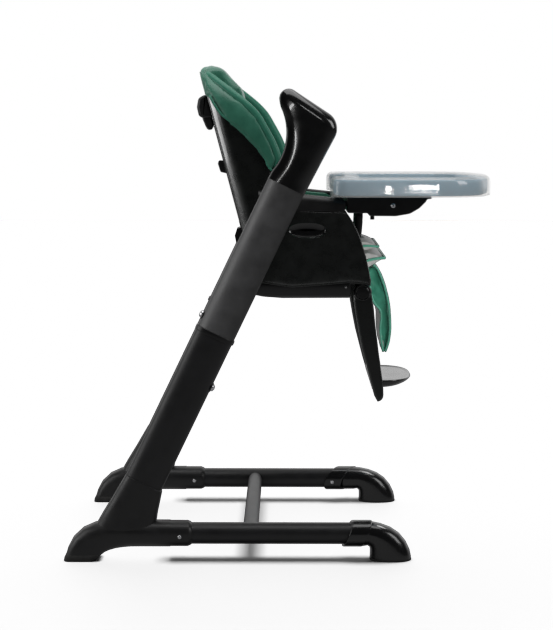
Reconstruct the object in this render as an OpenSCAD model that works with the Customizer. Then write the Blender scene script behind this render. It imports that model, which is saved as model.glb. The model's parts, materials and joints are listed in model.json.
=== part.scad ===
// Baby high chair with two leaning side legs, a reclining seat, a footrest and a sliding tray.
// +X is the front, +Y is the child's left, +Z is up. The origin is on the floor under the middle.
// Heights in the modules are measured from sole_z below the floor; grounded() lowers each node.

/* [Base] */
// Distance from the middle to each runner
side_y = 280; // [276:1:290]
// Outer diameter of the runner tubes
runner_d = 45; // [42:1:46]
// Height of the runner tube axis above the floor
runner_z = 62.5; // [60:0.5:66]
// Outer diameter of the cross bar
bar_d = 32; // [25:1:36]
// Place of the cross bar along X
bar_x = -67; // [-120:1:40]

/* [Legs] */
// Lean of the legs towards the front, from the vertical
lean = 25.7; // [25.5:0.1:26]
// Depth of the flat oval leg tube
leg_w = 83; // [82:0.5:84]
// Thickness of the flat oval leg tube
leg_t = 42; // [40:0.5:43]
// Wall of the leg tube
leg_wall = 2; // [1.5:0.25:2.5]

/* [Seat] */
// Half of the seat's outer width
seat_half = 190; // [188:1:194]
// Height of the top face of the seat pan
pan_z = 601; // [599:1:603]
// Wall of the moulded side panels
panel_t = 6; // [5:0.5:6]

/* [Backrest] */
// Half of the backrest shell's width
back_half = 155; // [150:1:157]
// Wall of the backrest shell
back_wall = 5; // [4:0.5:6]
// Recline of the rear face from the vertical
back_lean = 14.8; // [14:0.1:15.5]

/* [Tray] */
// Half of the tray's width
tray_half = 230; // [220:1:235]
// Height of the tray's rim
tray_top = 822; // [818:1:826]

/* [Hidden] */
$fn = 64;
eps = 0.1;
gap = 0.3;
black = [0.05, 0.05, 0.055];
green = [0.13, 0.38, 0.30];
grey = [0.62, 0.62, 0.60];
tray_blue = [0.44, 0.54, 0.58];

leg_x0 = -377.7;        // where the leg's middle line meets the floor
leg_s0 = 112;           // lower end of the lower tube, measured along the leg
socket_s = 194;         // rim of the foot's socket
collar_s = 546;         // middle of the collar between the tubes
collar_h = 6;
head_s = 893.5;         // seam between the upper tube and the head
button_s = 440.6;       // front button
catch_s = 573.8;        // rear button
button_r = 8;

sole_z = 6.5;           // the drawing is lowered by this much onto the floor
rear_tip = -466;
rear_inner = -401;
rear_pad_z = 20;        // tops of the rubber pads
front_pad_z = 10;
sleeve_d = 56;
rear_sleeve_x = -190;
front_sleeve_x = 94;

foot_pivot = [176, 571];    // footrest axis, X and Z
foot_pin_r = 6;
back_pivot = [-62, 628];    // recline axis, X and Z
back_pin_r = 5;
run_fit = 0.05;

rear_x0 = -84;              // a point on the backrest's rear line
rear_z0 = 684;
button_mid = [55.5, 707];   // oval button in the side panel, X and Z
button_len = 83;
button_high = 34;
rail_z = [758, 770];
rail_y = [169, 181];
carrier_half = 165;
skirt_z = 779;
strap_half = 11;

// ---------- helpers ----------

// Points on an arc or an elliptic arc about c, from angle a0 to a1
function arc(c, rx, ry, a0, a1, n = 10) =
    [for (i = [0:n]) let (a = a0 + (a1 - a0) * i / n) [c[0] + rx * cos(a), c[1] + ry * sin(a)]];

// X of the backrest's rear line at height z
function rear_x(z) = rear_x0 - (z - rear_z0) * tan(back_lean);

// Extrudes an outline drawn in X and Z from y0 to y1
module side(y0, y1) {
    translate([0, y1, 0]) rotate([90, 0, 0]) linear_extrude(y1 - y0) children();
}

// Extrudes an outline drawn in Y and Z from x0 to x1
module front(x0, x1) {
    translate([x0, 0, 0]) rotate([90, 0, 90]) linear_extrude(x1 - x0) children();
}

// A cylinder along Y from y0 to y1 at [x, z]
module y_rod(at, r, y0, y1) {
    translate([at[0], y1, at[1]]) rotate([90, 0, 0]) cylinder(r = r, h = y1 - y0);
}

// A cylinder along X from x0 to x1 on the runner's axis
module x_rod(d, x0, x1) {
    translate([x0, -side_y, runner_z]) rotate([0, 90, 0]) cylinder(d = d, h = x1 - x0);
}

// Both sides: the children, and their mirror image
module both() {
    children();
    mirror([0, 1, 0]) children();
}

module left() {
    mirror([0, 1, 0]) children();
}

// A flat oval, long side along X
module oval(w, t) {
    square([w - t, t], center = true);
    for (s = [-1, 1]) translate([s * (w - t) / 2, 0]) circle(d = t);
}

// The right leg's own frame: +Z up the leg, +X to its front face
module on_leg(s = 0) {
    translate([leg_x0, -side_y, 0]) rotate([0, lean, 0]) translate([0, 0, s]) children();
}

module oval_tube(w, t, s0, s1, wall) {
    on_leg(s0) linear_extrude(s1 - s0) difference() {
        oval(w, t);
        oval(w - 2 * wall, t - 2 * wall);
    }
}

module oval_bar(w, t, s0, s1) {
    on_leg(s0) linear_extrude(s1 - s0) oval(w, t);
}

// The two button holes of a leg: low at the front, high at the rear
module button_holes(r) {
    on_leg(button_s) translate([20, 0, 0]) rotate([0, 90, 0]) cylinder(r = r, h = 40);
    on_leg(catch_s) translate([-60, 0, 0]) rotate([0, 90, 0]) cylinder(r = r, h = 40);
}

// ---------- base ----------

module rear_foot() {
    color(black) difference() {
        union() {
            side(-side_y - sleeve_d / 2, -side_y + sleeve_d / 2) polygon(concat(
                arc([-396, 12], 65, 75, 180 - asin((rear_pad_z - 12) / 75), 90),
                [[-330, 100], [-262, 100], [-262, 34.5], [-320, 34]],
                arc([-330, 12], 63, 22, 90, 180 - asin((rear_pad_z - 12) / 22))));
            x_rod(sleeve_d, -300, rear_sleeve_x - 8);
            translate([rear_sleeve_x - 8, -side_y, runner_z]) rotate([0, 90, 0])
                cylinder(d1 = sleeve_d, d2 = sleeve_d - 10, h = 8);
            side(-side_y - leg_t / 2 - 2, -side_y + leg_t / 2 + 2) polygon([
                [-396, 87], [-380, 60], [-268, 60], [-268, 98], [-255.5, 150], [-257.5, 156], [-331.5, 192.5]]);
        }
        oval_bar(leg_w + 0.3, leg_t + 0.3, leg_s0, socket_s + 1);
        x_rod(runner_d + 0.2, -245, rear_sleeve_x + 1);
        y_rod([-217, 60], 2.6, -side_y - 40, -side_y - 20);
        y_rod([-217, 60], 2.6, -side_y + 20, -side_y + 40);
    }
}

module front_foot() {
    color(black) difference() {
        union() {
            side(-side_y - sleeve_d / 2, -side_y + sleeve_d / 2) polygon(concat(
                arc([190, front_pad_z], 88, 76, 0, 90),
                [[176, 86], [176, 38]],
                arc([182, 30], 8, 8, 90, 0, 4),
                [[190, front_pad_z]]));
            difference() {
                x_rod(sleeve_d - 1, front_sleeve_x, 184);
                translate([140, -side_y - 40, 0]) rotate([0, -20, 40])
                    translate([-140, -10, -20]) cube([120, 120, 150], center = false);
            }
        }
        x_rod(runner_d + 0.2, front_sleeve_x - 1, 170);
        y_rod([123, 57], 2.6, -side_y + 20, -side_y + 40);
    }
}

module rear_foot_pads() {
    color([0.10, 0.10, 0.10]) both()
        side(-side_y - 30, -side_y + 30) polygon([
            [rear_tip + 0.5, sole_z], [rear_inner + 3, sole_z], [rear_inner + 15, rear_pad_z - eps],
            [-461, rear_pad_z - eps], [rear_tip + 2, 14]]);
}

module front_foot_pads() {
    color([0.10, 0.10, 0.10]) both()
        translate([234, -side_y, sole_z]) linear_extrude(front_pad_z - sole_z - eps) oval(88, 60);
}

module runner_tube() {
    color(black) difference() {
        x_rod(runner_d, -244, 169);
        x_rod(runner_d - 3, -245, 170);
        y_rod([-217, 60], 2.3, -side_y - 40, -side_y + 40);
        y_rod([123, 57], 2.3, -side_y, -side_y + 40);
    }
}

module cross_bar() {
    color([0.10, 0.10, 0.11]) difference() {
        y_rod([bar_x, runner_z], bar_d / 2, -side_y + 10, side_y - 10);
        y_rod([bar_x, runner_z], bar_d / 2 - 1.5, -side_y, side_y);
        both() x_rod(runner_d + 0.1, bar_x - 40, bar_x + 40);
    }
}

// A pan head screw along Y whose head's outer face is at y, shank pointing by dir
module y_screw(at, y, dir, r = 4, shank = 2.2, length = 10) {
    translate([at[0], y, at[1]]) rotate([dir * -90, 0, 0]) rotate_extrude() polygon(concat(
        [[0, 0]], arc([r - 1.5, 1.5], 1.5, 1.5, -90, 0, 4),
        [[r, 2.6], [shank, 2.6], [shank, length], [0, length]]));
}

module base_screws() {
    color("silver") both() {
        y_screw([-217, 60], -side_y - 30.6, 1);
        y_screw([-217, 60], -side_y + 30.6, -1);
        y_screw([123, 57], -side_y + 30, -1);
    }
}

// ---------- legs ----------

module lower_leg() {
    color(black) difference() {
        oval_tube(leg_w, leg_t, leg_s0, collar_s - collar_h / 2, leg_wall);
        button_holes(button_r + gap);
    }
}

module upper_leg(catch_hole) {
    color(black) difference() {
        oval_tube(leg_w, leg_t, collar_s + collar_h / 2, head_s, leg_wall);
        if (catch_hole) button_holes(button_r + gap);
    }
}

module leg_coupler(catch_hole) {
    inner_w = leg_w - 2 * leg_wall - 0.6;
    inner_t = leg_t - 2 * leg_wall - 0.6;
    color([0.09, 0.09, 0.09]) difference() {
        union() {
            oval_bar(leg_w + 5, leg_t + 5, collar_s - collar_h / 2 + eps, collar_s + collar_h / 2 - eps);
            oval_bar(inner_w, inner_t, 410, 640);
        }
        oval_bar(inner_w - 6, inner_t - 6, 409, 641);
        on_leg(button_s) translate([20, 0, 0]) rotate([0, 90, 0]) cylinder(r = button_r + gap, h = 40);
        if (catch_hole)
            on_leg(catch_s) translate([-60, 0, 0]) rotate([0, 90, 0]) cylinder(r = button_r + gap, h = 40);
    }
}

// A domed button along +X of the leg's frame
module dome_button(reach) {
    rotate([0, 90, 0]) rotate_extrude() polygon(concat(
        [[0, 20], [button_r, 20]],
        arc([0, reach - 7], button_r, 7, 0, 90, 8)));
}

module snap_button() {
    color("silver") on_leg(button_s) dome_button(leg_w / 2 + 7);
}

module catch_button() {
    color("silver") on_leg(catch_s) mirror([1, 0, 0]) dome_button(leg_w / 2 + 6);
}

// Outline of the hook-shaped head in X and Z
module head_outline() {
    seam = head_s * [sin(lean), cos(lean)] + [leg_x0, 0];
    half = leg_w / 2 * [cos(lean), -sin(lean)];
    difference() {
        polygon(concat(
            [seam + half],
            arc([78, 925], 38, 38, -lean, 56.7, 12),
            arc([15, 988], 20, 20, 56.7, 180, 12),
            [seam - half]));
        translate([-111, 918]) circle(r = 121, $fn = 180);
    }
}

module head_shell() {
    color(black) {
        side(-side_y - leg_t / 2 - 1, -side_y + leg_t / 2 - 9) head_outline();
        oval_bar(leg_w - 2 * leg_wall - 0.6, leg_t - 2 * leg_wall - 0.6, head_s - 60, head_s - eps);
    }
}

module head_cover() {
    color(black) difference() {
        side(-side_y + leg_t / 2 - 9 + eps, -side_y + leg_t / 2 + 1) head_outline();
        oval_bar(leg_w, leg_t + 8, head_s - 60, head_s + eps);
    }
}

// ---------- seat ----------

// The bracket between the leg's inner face and the seat's side panel
module seat_bracket() {
    leg_face = -side_y + leg_t / 2 + gap;
    color([0.08, 0.08, 0.08]) difference() {
        union() {
            side(leg_face, leg_face + 8) polygon([[-60, 700], [-14, 700], [22, 772], [-24, 772]]);
            y_rod([-22, 736], 15, leg_face, -seat_half - gap);
            side(-seat_half - 8, -seat_half - gap) polygon([[-62, 700], [-14, 700], [8, 745], [-38, 745]]);
        }
        y_rod([-22, 736], 4.2, -side_y, -seat_half + 20);
    }
}

module bracket_bolts() {
    color("silver") both() y_screw([-22, 736], -seat_half + panel_t + 2.9, -1, 9, 4, 60);
}

module panel_outline() {
    polygon(concat(
        [[-52, 756.5], [38, 748.7], [135.5, 745.6], [140, 745], [157, 720], [173, 681], [182, 650], [190, 616],
         [193, 598], [193, 587], [190, 584], [150, 584], [150, 563]],
        arc([146, 563], 4, 4, 0, -90, 3),
        [[62, 557], [-4, 559], [-56, 565], [-100, 578], [-115, 596], [-118, 612]]));
}

module seat_shell() {
    color(black) difference() {
        union() {
            both() side(-seat_half, -seat_half + panel_t) panel_outline();
            translate([-112, -seat_half + panel_t / 2, pan_z - 5])
                cube([298, 2 * seat_half - panel_t, 5]);
            both() side(-156, -150) polygon(concat(
                [[160, pan_z - 1], [160, foot_pivot[1]]],
                arc(foot_pivot, 16, 16, 180, 360, 12),
                [[192, pan_z - 1]]));
        }
        both() {
            side(-seat_half - 1, -seat_half + panel_t + 1) translate(button_mid)
                oval(button_len, button_high);
            y_rod([-22, 736], 4.2, -seat_half - 1, -seat_half + 20);
            y_rod(back_pivot, back_pin_r + run_fit, -seat_half - 1, -seat_half + 20);
            y_rod(foot_pivot, foot_pin_r + run_fit, -160, -140);
        }
        translate([161, -24, pan_z - 6]) cube([19, 48, 8]);
    }
}

module base_outline(inset) {
    polygon([[-108 + inset, pan_z - 5.3], [-96 + inset, 577 + inset], [-56, 566 + inset], [-4, 560 + inset],
             [62, 558 + inset], [149 - inset, 561 + inset], [149 - inset, pan_z - 5.3]]);
}

module seat_base() {
    inner = seat_half - panel_t - gap;
    color(black) difference() {
        side(-inner, inner) base_outline(0);
        side(-inner + 3, inner - 3) intersection() {
            base_outline(3);
            translate([-200, 500]) square([400, 200]);
        }
    }
}

module armrest() {
    color(black) difference() {
        side(-seat_half - 2, -seat_half + 32) polygon(concat(
            [[-52, 757], [38, 749], [136, 746]],
            arc([130, 769], 6, 6, 0, 84, 5),
            [[-35, 791.5]]));
        translate([-60, -rail_y[1] - 0.4, rail_z[0] - 0.4])
            cube([200, rail_y[1] - rail_y[0] + 0.8, rail_z[1] - rail_z[0] + 0.8]);
    }
}

module side_button() {
    color([0.03, 0.03, 0.05]) side(-seat_half - 1.5, -seat_half + 4) translate(button_mid)
        oval(button_len - 2 * gap, button_high - 2 * gap);
}

module seat_cushion() {
    side_y0 = -seat_half + panel_t + gap;
    color(green) {
        difference() {
            side(-150 + gap, 150 - gap) polygon([[-36, 603], [186, 603], [196, 606], [231, 620], [233, 630],
                [225, 634.5], [190, 641], [-36, 641]]);
            translate([160.5, -24.5, 590]) cube([20, 49, 80]);
        }
        both() side(side_y0 + 3, side_y0 + 15) polygon([[-20, pan_z + 3], [168, pan_z + 3], [160, 660],
            [128, 735], [-8, 742]]);
    }
}

module seat_insert() {
    color(grey) difference() {
        side(-125, 125) polygon([[-34, 642], [190, 642], [216, 646.5], [220, 652], [216, 658],
            [190, 668], [-30, 668]]);
        translate([158, -25, 630]) cube([24, 50, 80]);
    }
}

module calf_flap() {
    color(green) side(-118, 118) polygon(concat(
        [[189.5, 601], [194.5, 585], [197, 560], [203, 540], [226, 508], [228, 470], [234, 430], [239, 413]],
        arc([190, 476], 61, 62, -38, 0, 5),
        [[247, 510], [236, 559], [225, 585], [213, 607], [208, 608.5], [196, 604]]));
}

// The cover's flaps inside the armrests
module side_pads() {
    color(green) both() side(-157.5, -151) polygon([
        [8, 702], [112, 702], [120, 712], [124, 742], [116, 768], [104, 776.5], [40, 782], [8, 784]]);
}

module crotch_post() {
    color(black) side(-22, 22) polygon([[161.5, pan_z - 4], [179.5, pan_z - 4], [178, 671], [181.5, 700],
        [183, 741.5], [163, 741.5], [161.5, 690]]);
}

// ---------- backrest ----------

// Front view of the backrest shell, in Y and Z, grown by g
module back_front(g) {
    polygon(concat(
        [[-back_half - g, 560], [back_half + g, 560]],
        arc([back_half - 95, 955], 95 + g, 100 + g, 0, 90, 12),
        arc([-back_half + 95, 955], 95 + g, 100 + g, 90, 180, 12)));
}

// Front edge of the side wings, moved forward by d, from the bottom up
function ridge(d) = [[-9 + d, 861], [-14 + d, 871], [-24 + d, 896], [-39 + d, 923], [-56 + d, 953],
    [-81 + d, 978 + d], [-116 + d, 1005 + d], [-145, 1027 + d], [-166, 1046 + d]];

// Side view of the shell, in X and Z, with its rear line moved forward by d
module back_side(d) {
    polygon(concat(
        [[rear_x(640) + d, 640], [rear_x(640) + d + 20, 632], [-30, 632], [-14, 700], [-12, 800]],
        ridge(-12),
        [[-172, 1045], [rear_x(1010) + d, 1010]]));
}

module backrest_shell() {
    color(black) difference() {
        union() {
            intersection() {
                side(-200, 200) back_side(0);
                front(-300, 60) back_front(0);
            }
            both() y_rod(back_pivot, 16, -back_half, -back_half + back_wall);
        }
        intersection() {
            side(-200, 200) polygon([[rear_x(560) + back_wall, 560], [100, 560], [100, 1100],
                [rear_x(1100) + back_wall, 1100]]);
            front(-300, 100) back_front(-back_wall);
        }
        both() y_rod(back_pivot, back_pin_r + run_fit, -back_half - 1, -back_half + 20);
    }
}

module backrest_cover() {
    pad = 28;
    color(green) difference() {
        union() {
            difference() {
                intersection() {
                    union() {
                        // inside of the shell
                        intersection() {
                            side(-200, 200) polygon(concat(
                                [[rear_x(650) + back_wall + 1, 650], [-34, 650], [-22, 700], [-20, 800]],
                                ridge(0),
                                [[-174, 1062], [-190, 1040]]));
                            front(-300, 60) back_front(-back_wall - 0.6);
                        }
                        // band round the outside of the edge
                        side(-200, 200) polygon(concat(
                            [[-21, 834]], ridge(0),
                            [[-157, 1062], [-170, 1056], [-176, 1040], [-156, 995], [-145, 975], [-130, 955],
                             [-108, 938], [-81, 916], [-56, 889], [-36, 862]]));
                    }
                    front(-300, 60) back_front(7);
                    side(-200, 200) polygon([[rear_x(600) - 14, 600], [100, 600], [100, 1062], [rear_x(1062) + 2, 1062]]);
                }
                // where the child sits
                intersection() {
                    side(-200, 200) polygon([[rear_x(560) + pad + back_wall, 560], [100, 560], [100, 1100],
                        [rear_x(1100) + pad + back_wall, 1100]]);
                    front(-300, 100) back_front(-back_wall - 22);
                }
            }
            // pad behind the head
            intersection() {
                side(-100, 100) polygon([[rear_x(962) + 6, 962], [-92, 962], [-86, 985], [-92, 1009], [-106, 1023],
                    [-119, 1036], [-129, 1049], [-138, 1056.5], [-151, 1062], [-164, 1062], [-172, 1057],
                    [-176, 1046], [rear_x(1040) + 6, 1040]]);
                front(-300, 60) back_front(7);
            }
        }
        // room for the shell's own wall
        difference() {
            intersection() {
                side(-200, 200) polygon(concat(
                    [[rear_x(600) - 20, 600], [-10, 600], [-10, 800]], ridge(-11),
                    [[-166, 1045.6], [-260, 1045.6]]));
                front(-300, 60) back_front(0.6);
            }
            intersection() {
                side(-200, 200) polygon([[rear_x(560) + back_wall + 0.6, 560], [100, 560], [100, 1100],
                    [rear_x(1100) + back_wall + 0.6, 1100]]);
                front(-300, 100) back_front(-back_wall - 0.6);
            }
        }
    }
}

module backrest_pins() {
    color("silver") both() y_rod(back_pivot, back_pin_r, -seat_half + 0.5, -back_half + back_wall + 3);
}

module recline_housing() {
    color(black) difference() {
        side(-38, 38) polygon([[-187, 965], [-188, 985], [-184, 994], [-176, 998],
            [rear_x(998) - gap, 998], [rear_x(948) - gap, 948], [-178, 948]]);
        side(-24, 24) polygon([[-179, 940], [rear_x(940) - 1, 940], [rear_x(976) - 1, 976], [-182, 976]]);
    }
}

module recline_lever() {
    color(black) side(-22, 22) polygon(concat(
        [[-177.5, 945], [-178, 966], [rear_x(966) - 3.8, 966], [rear_x(940) - 3.8, 940], [-158.5, 930]],
        arc([-164, 930], 6, 6, 0, -150, 6)));
}

// The band that runs down the back from the lever to the box at the bottom
module recline_strap() {
    color([0.05, 0.05, 0.05]) side(-strap_half, strap_half) polygon([
        [rear_x(946) - 3, 946], [rear_x(946) - 1, 946], [rear_x(706) - 1, 706], [rear_x(706) - 3, 706]]);
}

module strap_hook() {
    color(black) difference() {
        side(-strap_half - 4, strap_half + 4) polygon([[rear_x(852) - gap, 852], [-142, 853], [-144, 846],
            [-138, 828], [rear_x(823) - gap, 823]]);
        side(-strap_half - gap, strap_half + gap) polygon([[rear_x(860) - 3.4, 860], [rear_x(860) + 1, 860],
            [rear_x(815) + 1, 815], [rear_x(815) - 3.4, 815]]);
    }
}

module strap_box() {
    color([0.2, 0.2, 0.2]) side(-20, 20) polygon([[rear_x(704) - gap, 704], [-101, 700], [-106, 684],
        [-102, 663], [rear_x(663) - gap, 663]]);
}

module shoulder_straps() {
    lift = back_wall + 29;
    color([0.08, 0.08, 0.08]) both() side(-62, -37) polygon([
        [rear_x(700) + lift, 700], [rear_x(700) + lift + 2.5, 700], [rear_x(940) + lift + 2.5, 940],
        [rear_x(940) + lift, 940]]);
}

module lap_straps() {
    color([0.08, 0.08, 0.08]) {
        both() translate([20, -112, 669]) cube([25, 84, 2.5]);
        translate([62, -12.5, 669]) cube([70, 25, 2.5]);
    }
}

module harness_buckle() {
    color(black) translate([33, 0, 669]) linear_extrude(14) intersection() {
        square([50, 54], center = true);
        circle(r = 32);
    }
}

// ---------- footrest ----------

module footrest_arm() {
    color(black) difference() {
        side(-178, -158) polygon(concat(
            arc(foot_pivot, 20, 19, 175, 0, 12),
            [[200, 536], [203, 505], [207, 470], [212, 434], [217, 402], [222, 372]],
            arc([214, 344], 8, 12, 0, -70, 5),
            [[211, 331], [202, 345], [192, 381], [183, 417], [174, 452], [167, 488], [161, 523], [157, 550]]));
        y_rod(foot_pivot, foot_pin_r + run_fit, -170, -150);
    }
}

module foot_plate() {
    reach = 292;
    round_r = 64;
    color(black) intersection() {
        side(-157.7, 157.7) polygon([[197, 368], [230, 366], [262, 366], [reach, 369.5], [reach, 366], [280, 359],
            [262, 354], [240, 351.5], [205, 350]]);
        translate([0, 0, 300]) linear_extrude(100) union() {
            polygon(concat(
                [[212, -118]],
                arc([reach - round_r, -118 + round_r], round_r, round_r, -90, 0, 10),
                arc([reach - round_r, 118 - round_r], round_r, round_r, 0, 90, 10),
                [[212, 118]]));
            translate([197, -157.7]) square([16, 315.4]);
        }
    }
}

module footrest_pins() {
    color("silver") both() y_rod(foot_pivot, foot_pin_r, -169, -147);
}

module footrest_caps() {
    color([0.07, 0.07, 0.07]) both() translate([foot_pivot[0], -178.1, foot_pivot[1]]) rotate([90, 0, 0])
        rotate_extrude() polygon(concat([[0, 0], [15.5, 0]], arc([13.5, 2], 2, 2, 0, 90, 4), [[11, 3], [0, 3]]));
}

// ---------- tray ----------

// Plan of the tray, drawn inwards by t
module tray_plan(t) {
    front_r = 120;
    horn_r = 42;
    polygon(concat(
        arc([466 - front_r - 12, -tray_half + front_r], front_r - t, front_r - t, -90, -30, 8),
        arc([466 - 700, 0], 700 - t, 700 - t, -8, 8, 8),
        arc([466 - front_r - 12, tray_half - front_r], front_r - t, front_r - t, 30, 90, 8),
        arc([104 + horn_r, tray_half - horn_r], horn_r - t, horn_r - t, 90, 205, 8),
        arc([-148, 0], 290 + t, 290 + t, 26, -26, 16),
        arc([104 + horn_r, -tray_half + horn_r], horn_r - t, horn_r - t, 155, 270, 8)));
}

module slab(z0, z1) {
    translate([0, 0, z0]) linear_extrude(z1 - z0) children();
}

module main_tray() {
    rim = tray_top - 6;
    dish = tray_top - 34;
    color(tray_blue) difference() {
        slab(skirt_z + 2, rim) tray_plan(6);
        slab(dish, rim + 1) tray_plan(30);
        slab(skirt_z, dish - 3) tray_plan(33);
        difference() {
            slab(skirt_z, rim - 3) tray_plan(9);
            slab(skirt_z, rim + 1) tray_plan(27);
        }
    }
}

module tray_cover() {
    color([0.85, 0.88, 0.88, 0.5]) difference() {
        slab(skirt_z, tray_top) tray_plan(0);
        slab(skirt_z - 1, tray_top - 3) tray_plan(3);
        slab(tray_top - 25, tray_top + 1) tray_plan(36);
    }
    color([0.85, 0.88, 0.88, 0.5]) difference() {
        slab(tray_top - 27.5, tray_top - 2) tray_plan(33.5);
        slab(tray_top - 25, tray_top) tray_plan(36);
    }
}

module carrier_outline(t) {
    polygon(concat(
        [[140 + t, 777.5], [140 + t, 743.5 + t], [186, 743.5 + t], [190, 737 + t], [246, 737 + t]],
        arc([240, 795], 72 - t, 58 - t, -80, -25, 8),
        [[318 - t, 777.5]]));
}

module tray_carrier() {
    color(black) difference() {
        union() {
            side(-carrier_half, carrier_half) carrier_outline(0);
            translate([200, -carrier_half, 772.5]) cube([128, 2 * carrier_half, 3.5]);
            translate([182, -carrier_half, 777]) cube([130, 2 * carrier_half, 7.8]);
            both() translate([140, -rail_y[1] - 6, 752]) cube([160, 22, 25.5]);
        }
        side(-carrier_half + 4, carrier_half - 4) difference() {
            carrier_outline(4);
            translate([100, 774]) square([300, 20]);
        }
        both() translate([130, -rail_y[1] - 0.2, rail_z[0] - 0.2])
            cube([150, rail_y[1] - rail_y[0] + 0.4, rail_z[1] - rail_z[0] + 0.4]);
        both() y_rod([240, 762], 2.3, -200, -160);
    }
}

module tray_rails() {
    color([0.12, 0.12, 0.12]) both() translate([12, -rail_y[1], rail_z[0]])
        cube([266, rail_y[1] - rail_y[0], rail_z[1] - rail_z[0]]);
}

module carrier_screws() {
    color("silver") both() y_screw([240, 762], -rail_y[1] - 6 - 2.7, 1, 5, 2, 8);
}

module tray_peg() {
    color([0.15, 0.15, 0.15]) translate([197, -150, 728]) cylinder(r = 4.5, h = 8.9);
}

// ---------- nodes ----------

module grounded() {
    translate([0, 0, -sole_z]) children();
}

grounded() rear_foot();  // rear_foot_right
grounded() left() rear_foot();  // rear_foot_left
grounded() front_foot();  // front_foot_right
grounded() left() front_foot();  // front_foot_left
grounded() rear_foot_pads();
grounded() front_foot_pads();
grounded() runner_tube();  // runner_tube_right
grounded() left() runner_tube();  // runner_tube_left
grounded() cross_bar();
grounded() base_screws();
grounded() lower_leg();  // lower_leg_right
grounded() left() lower_leg();  // lower_leg_left
grounded() leg_coupler(true);  // leg_coupler_right
grounded() left() leg_coupler(false);  // leg_coupler_left
grounded() upper_leg(true);  // upper_leg_right
grounded() left() upper_leg(false);  // upper_leg_left
grounded() head_shell();  // head_shell_right
grounded() left() head_shell();  // head_shell_left
grounded() head_cover();  // head_cover_right
grounded() left() head_cover();  // head_cover_left
grounded() seat_bracket();  // seat_bracket_right
grounded() left() seat_bracket();  // seat_bracket_left
grounded() bracket_bolts();
grounded() snap_button();  // snap_button_right
grounded() left() snap_button();  // snap_button_left
grounded() catch_button();
grounded() seat_shell();
grounded() seat_base();
grounded() armrest();  // armrest_right
grounded() left() armrest();  // armrest_left
grounded() side_button();  // side_button_right
grounded() left() side_button();  // side_button_left
grounded() backrest_shell();
grounded() backrest_pins();
grounded() recline_housing();
grounded() recline_lever();
grounded() strap_hook();
grounded() strap_box();
grounded() recline_strap();
grounded() backrest_cover();
grounded() seat_cushion();
grounded() seat_insert();
grounded() side_pads();
grounded() calf_flap();
grounded() footrest_arm();  // footrest_arm_right
grounded() left() footrest_arm();  // footrest_arm_left
grounded() foot_plate();
grounded() footrest_pins();
grounded() footrest_caps();
grounded() tray_carrier();
grounded() tray_rails();
grounded() main_tray();
grounded() tray_cover();
grounded() carrier_screws();
grounded() tray_peg();
grounded() crotch_post();
grounded() shoulder_straps();
grounded() lap_straps();
grounded() harness_buckle();
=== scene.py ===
"""Baby high chair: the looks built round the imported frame.

The frame is in metres, +X to the front, +Y to the child's left, +Z up. Outlines below are in
millimetres, in the same place as the CAD parts, and are turned into metres when a mesh is made.
Right-hand pieces lie at negative Y, and each left-hand piece is the mirror image of one of them.
"""

import json
import math

import bmesh
import bpy
import numpy as np
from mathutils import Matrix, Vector

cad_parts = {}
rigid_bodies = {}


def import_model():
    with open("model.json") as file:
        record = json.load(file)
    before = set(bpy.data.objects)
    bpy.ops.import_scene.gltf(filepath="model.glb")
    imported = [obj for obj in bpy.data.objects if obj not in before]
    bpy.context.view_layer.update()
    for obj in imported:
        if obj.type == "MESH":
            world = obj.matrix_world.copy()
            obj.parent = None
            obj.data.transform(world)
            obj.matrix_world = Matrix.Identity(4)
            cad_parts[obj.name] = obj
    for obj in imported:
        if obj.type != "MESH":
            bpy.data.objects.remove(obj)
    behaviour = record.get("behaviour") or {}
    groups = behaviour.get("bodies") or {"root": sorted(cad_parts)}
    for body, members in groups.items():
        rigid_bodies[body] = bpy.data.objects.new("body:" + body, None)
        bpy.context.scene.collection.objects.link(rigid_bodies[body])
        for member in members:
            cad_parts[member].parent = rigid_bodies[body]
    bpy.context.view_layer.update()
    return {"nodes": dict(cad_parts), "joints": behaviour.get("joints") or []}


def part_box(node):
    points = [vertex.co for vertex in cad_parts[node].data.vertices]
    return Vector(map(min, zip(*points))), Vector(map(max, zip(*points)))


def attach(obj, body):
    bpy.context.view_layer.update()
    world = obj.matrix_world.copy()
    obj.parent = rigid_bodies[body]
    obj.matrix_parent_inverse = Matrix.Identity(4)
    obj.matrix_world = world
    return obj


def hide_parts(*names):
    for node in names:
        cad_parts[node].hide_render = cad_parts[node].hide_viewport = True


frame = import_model()
nodes = frame["nodes"]
scene = bpy.context.scene

MM = 0.001
DROP = Vector((0, 0, 6.5))      # heights below are measured from this far under the floor

# ---------- places, in millimetres, taken from the frame ----------


def node_box(name):
    low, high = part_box(name)
    return low / MM + DROP, high / MM + DROP


def joint_place(name):
    for joint in frame["joints"]:
        if joint["name"] == name:
            return Vector(joint["pos_m"]) / MM + DROP
    raise ValueError(name)


runner_low, runner_high = node_box("runner_tube_right")
SIDE_Y = -(runner_low.y + runner_high.y) / 2
RUNNER_Z = (runner_low.z + runner_high.z) / 2
SEAT_HALF = node_box("seat_shell")[1].y
BACK_HALF = node_box("backrest_shell")[1].y
TRAY_HALF = node_box("tray_cover")[1].y
FOOT_PIVOT = joint_place("footrest_fold")
BACK_PIVOT = joint_place("backrest_recline")

LEAN = math.radians(25.7)
LEG_X0 = -377.7          # where the leg's middle line meets the floor
LEG_W = 83.0
LEG_T = 42.0
COLLAR_S = 546.0         # distances along the leg, from the floor
HEAD_S = 893.5
BACK_LEAN = math.radians(14.8)
REAR_X0 = -84.0          # a point of the backrest's rear line
REAR_Z0 = 684.0
PAN_Z = 601.0

# ---------- outlines ----------


def arc(cx, cz, rx, rz, a0, a1, n=10):
    """Points on an ellipse's arc, angles in degrees."""
    turns = np.radians(np.linspace(a0, a1, n + 1))
    return [(cx + rx * math.cos(a), cz + rz * math.sin(a)) for a in turns]


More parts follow.
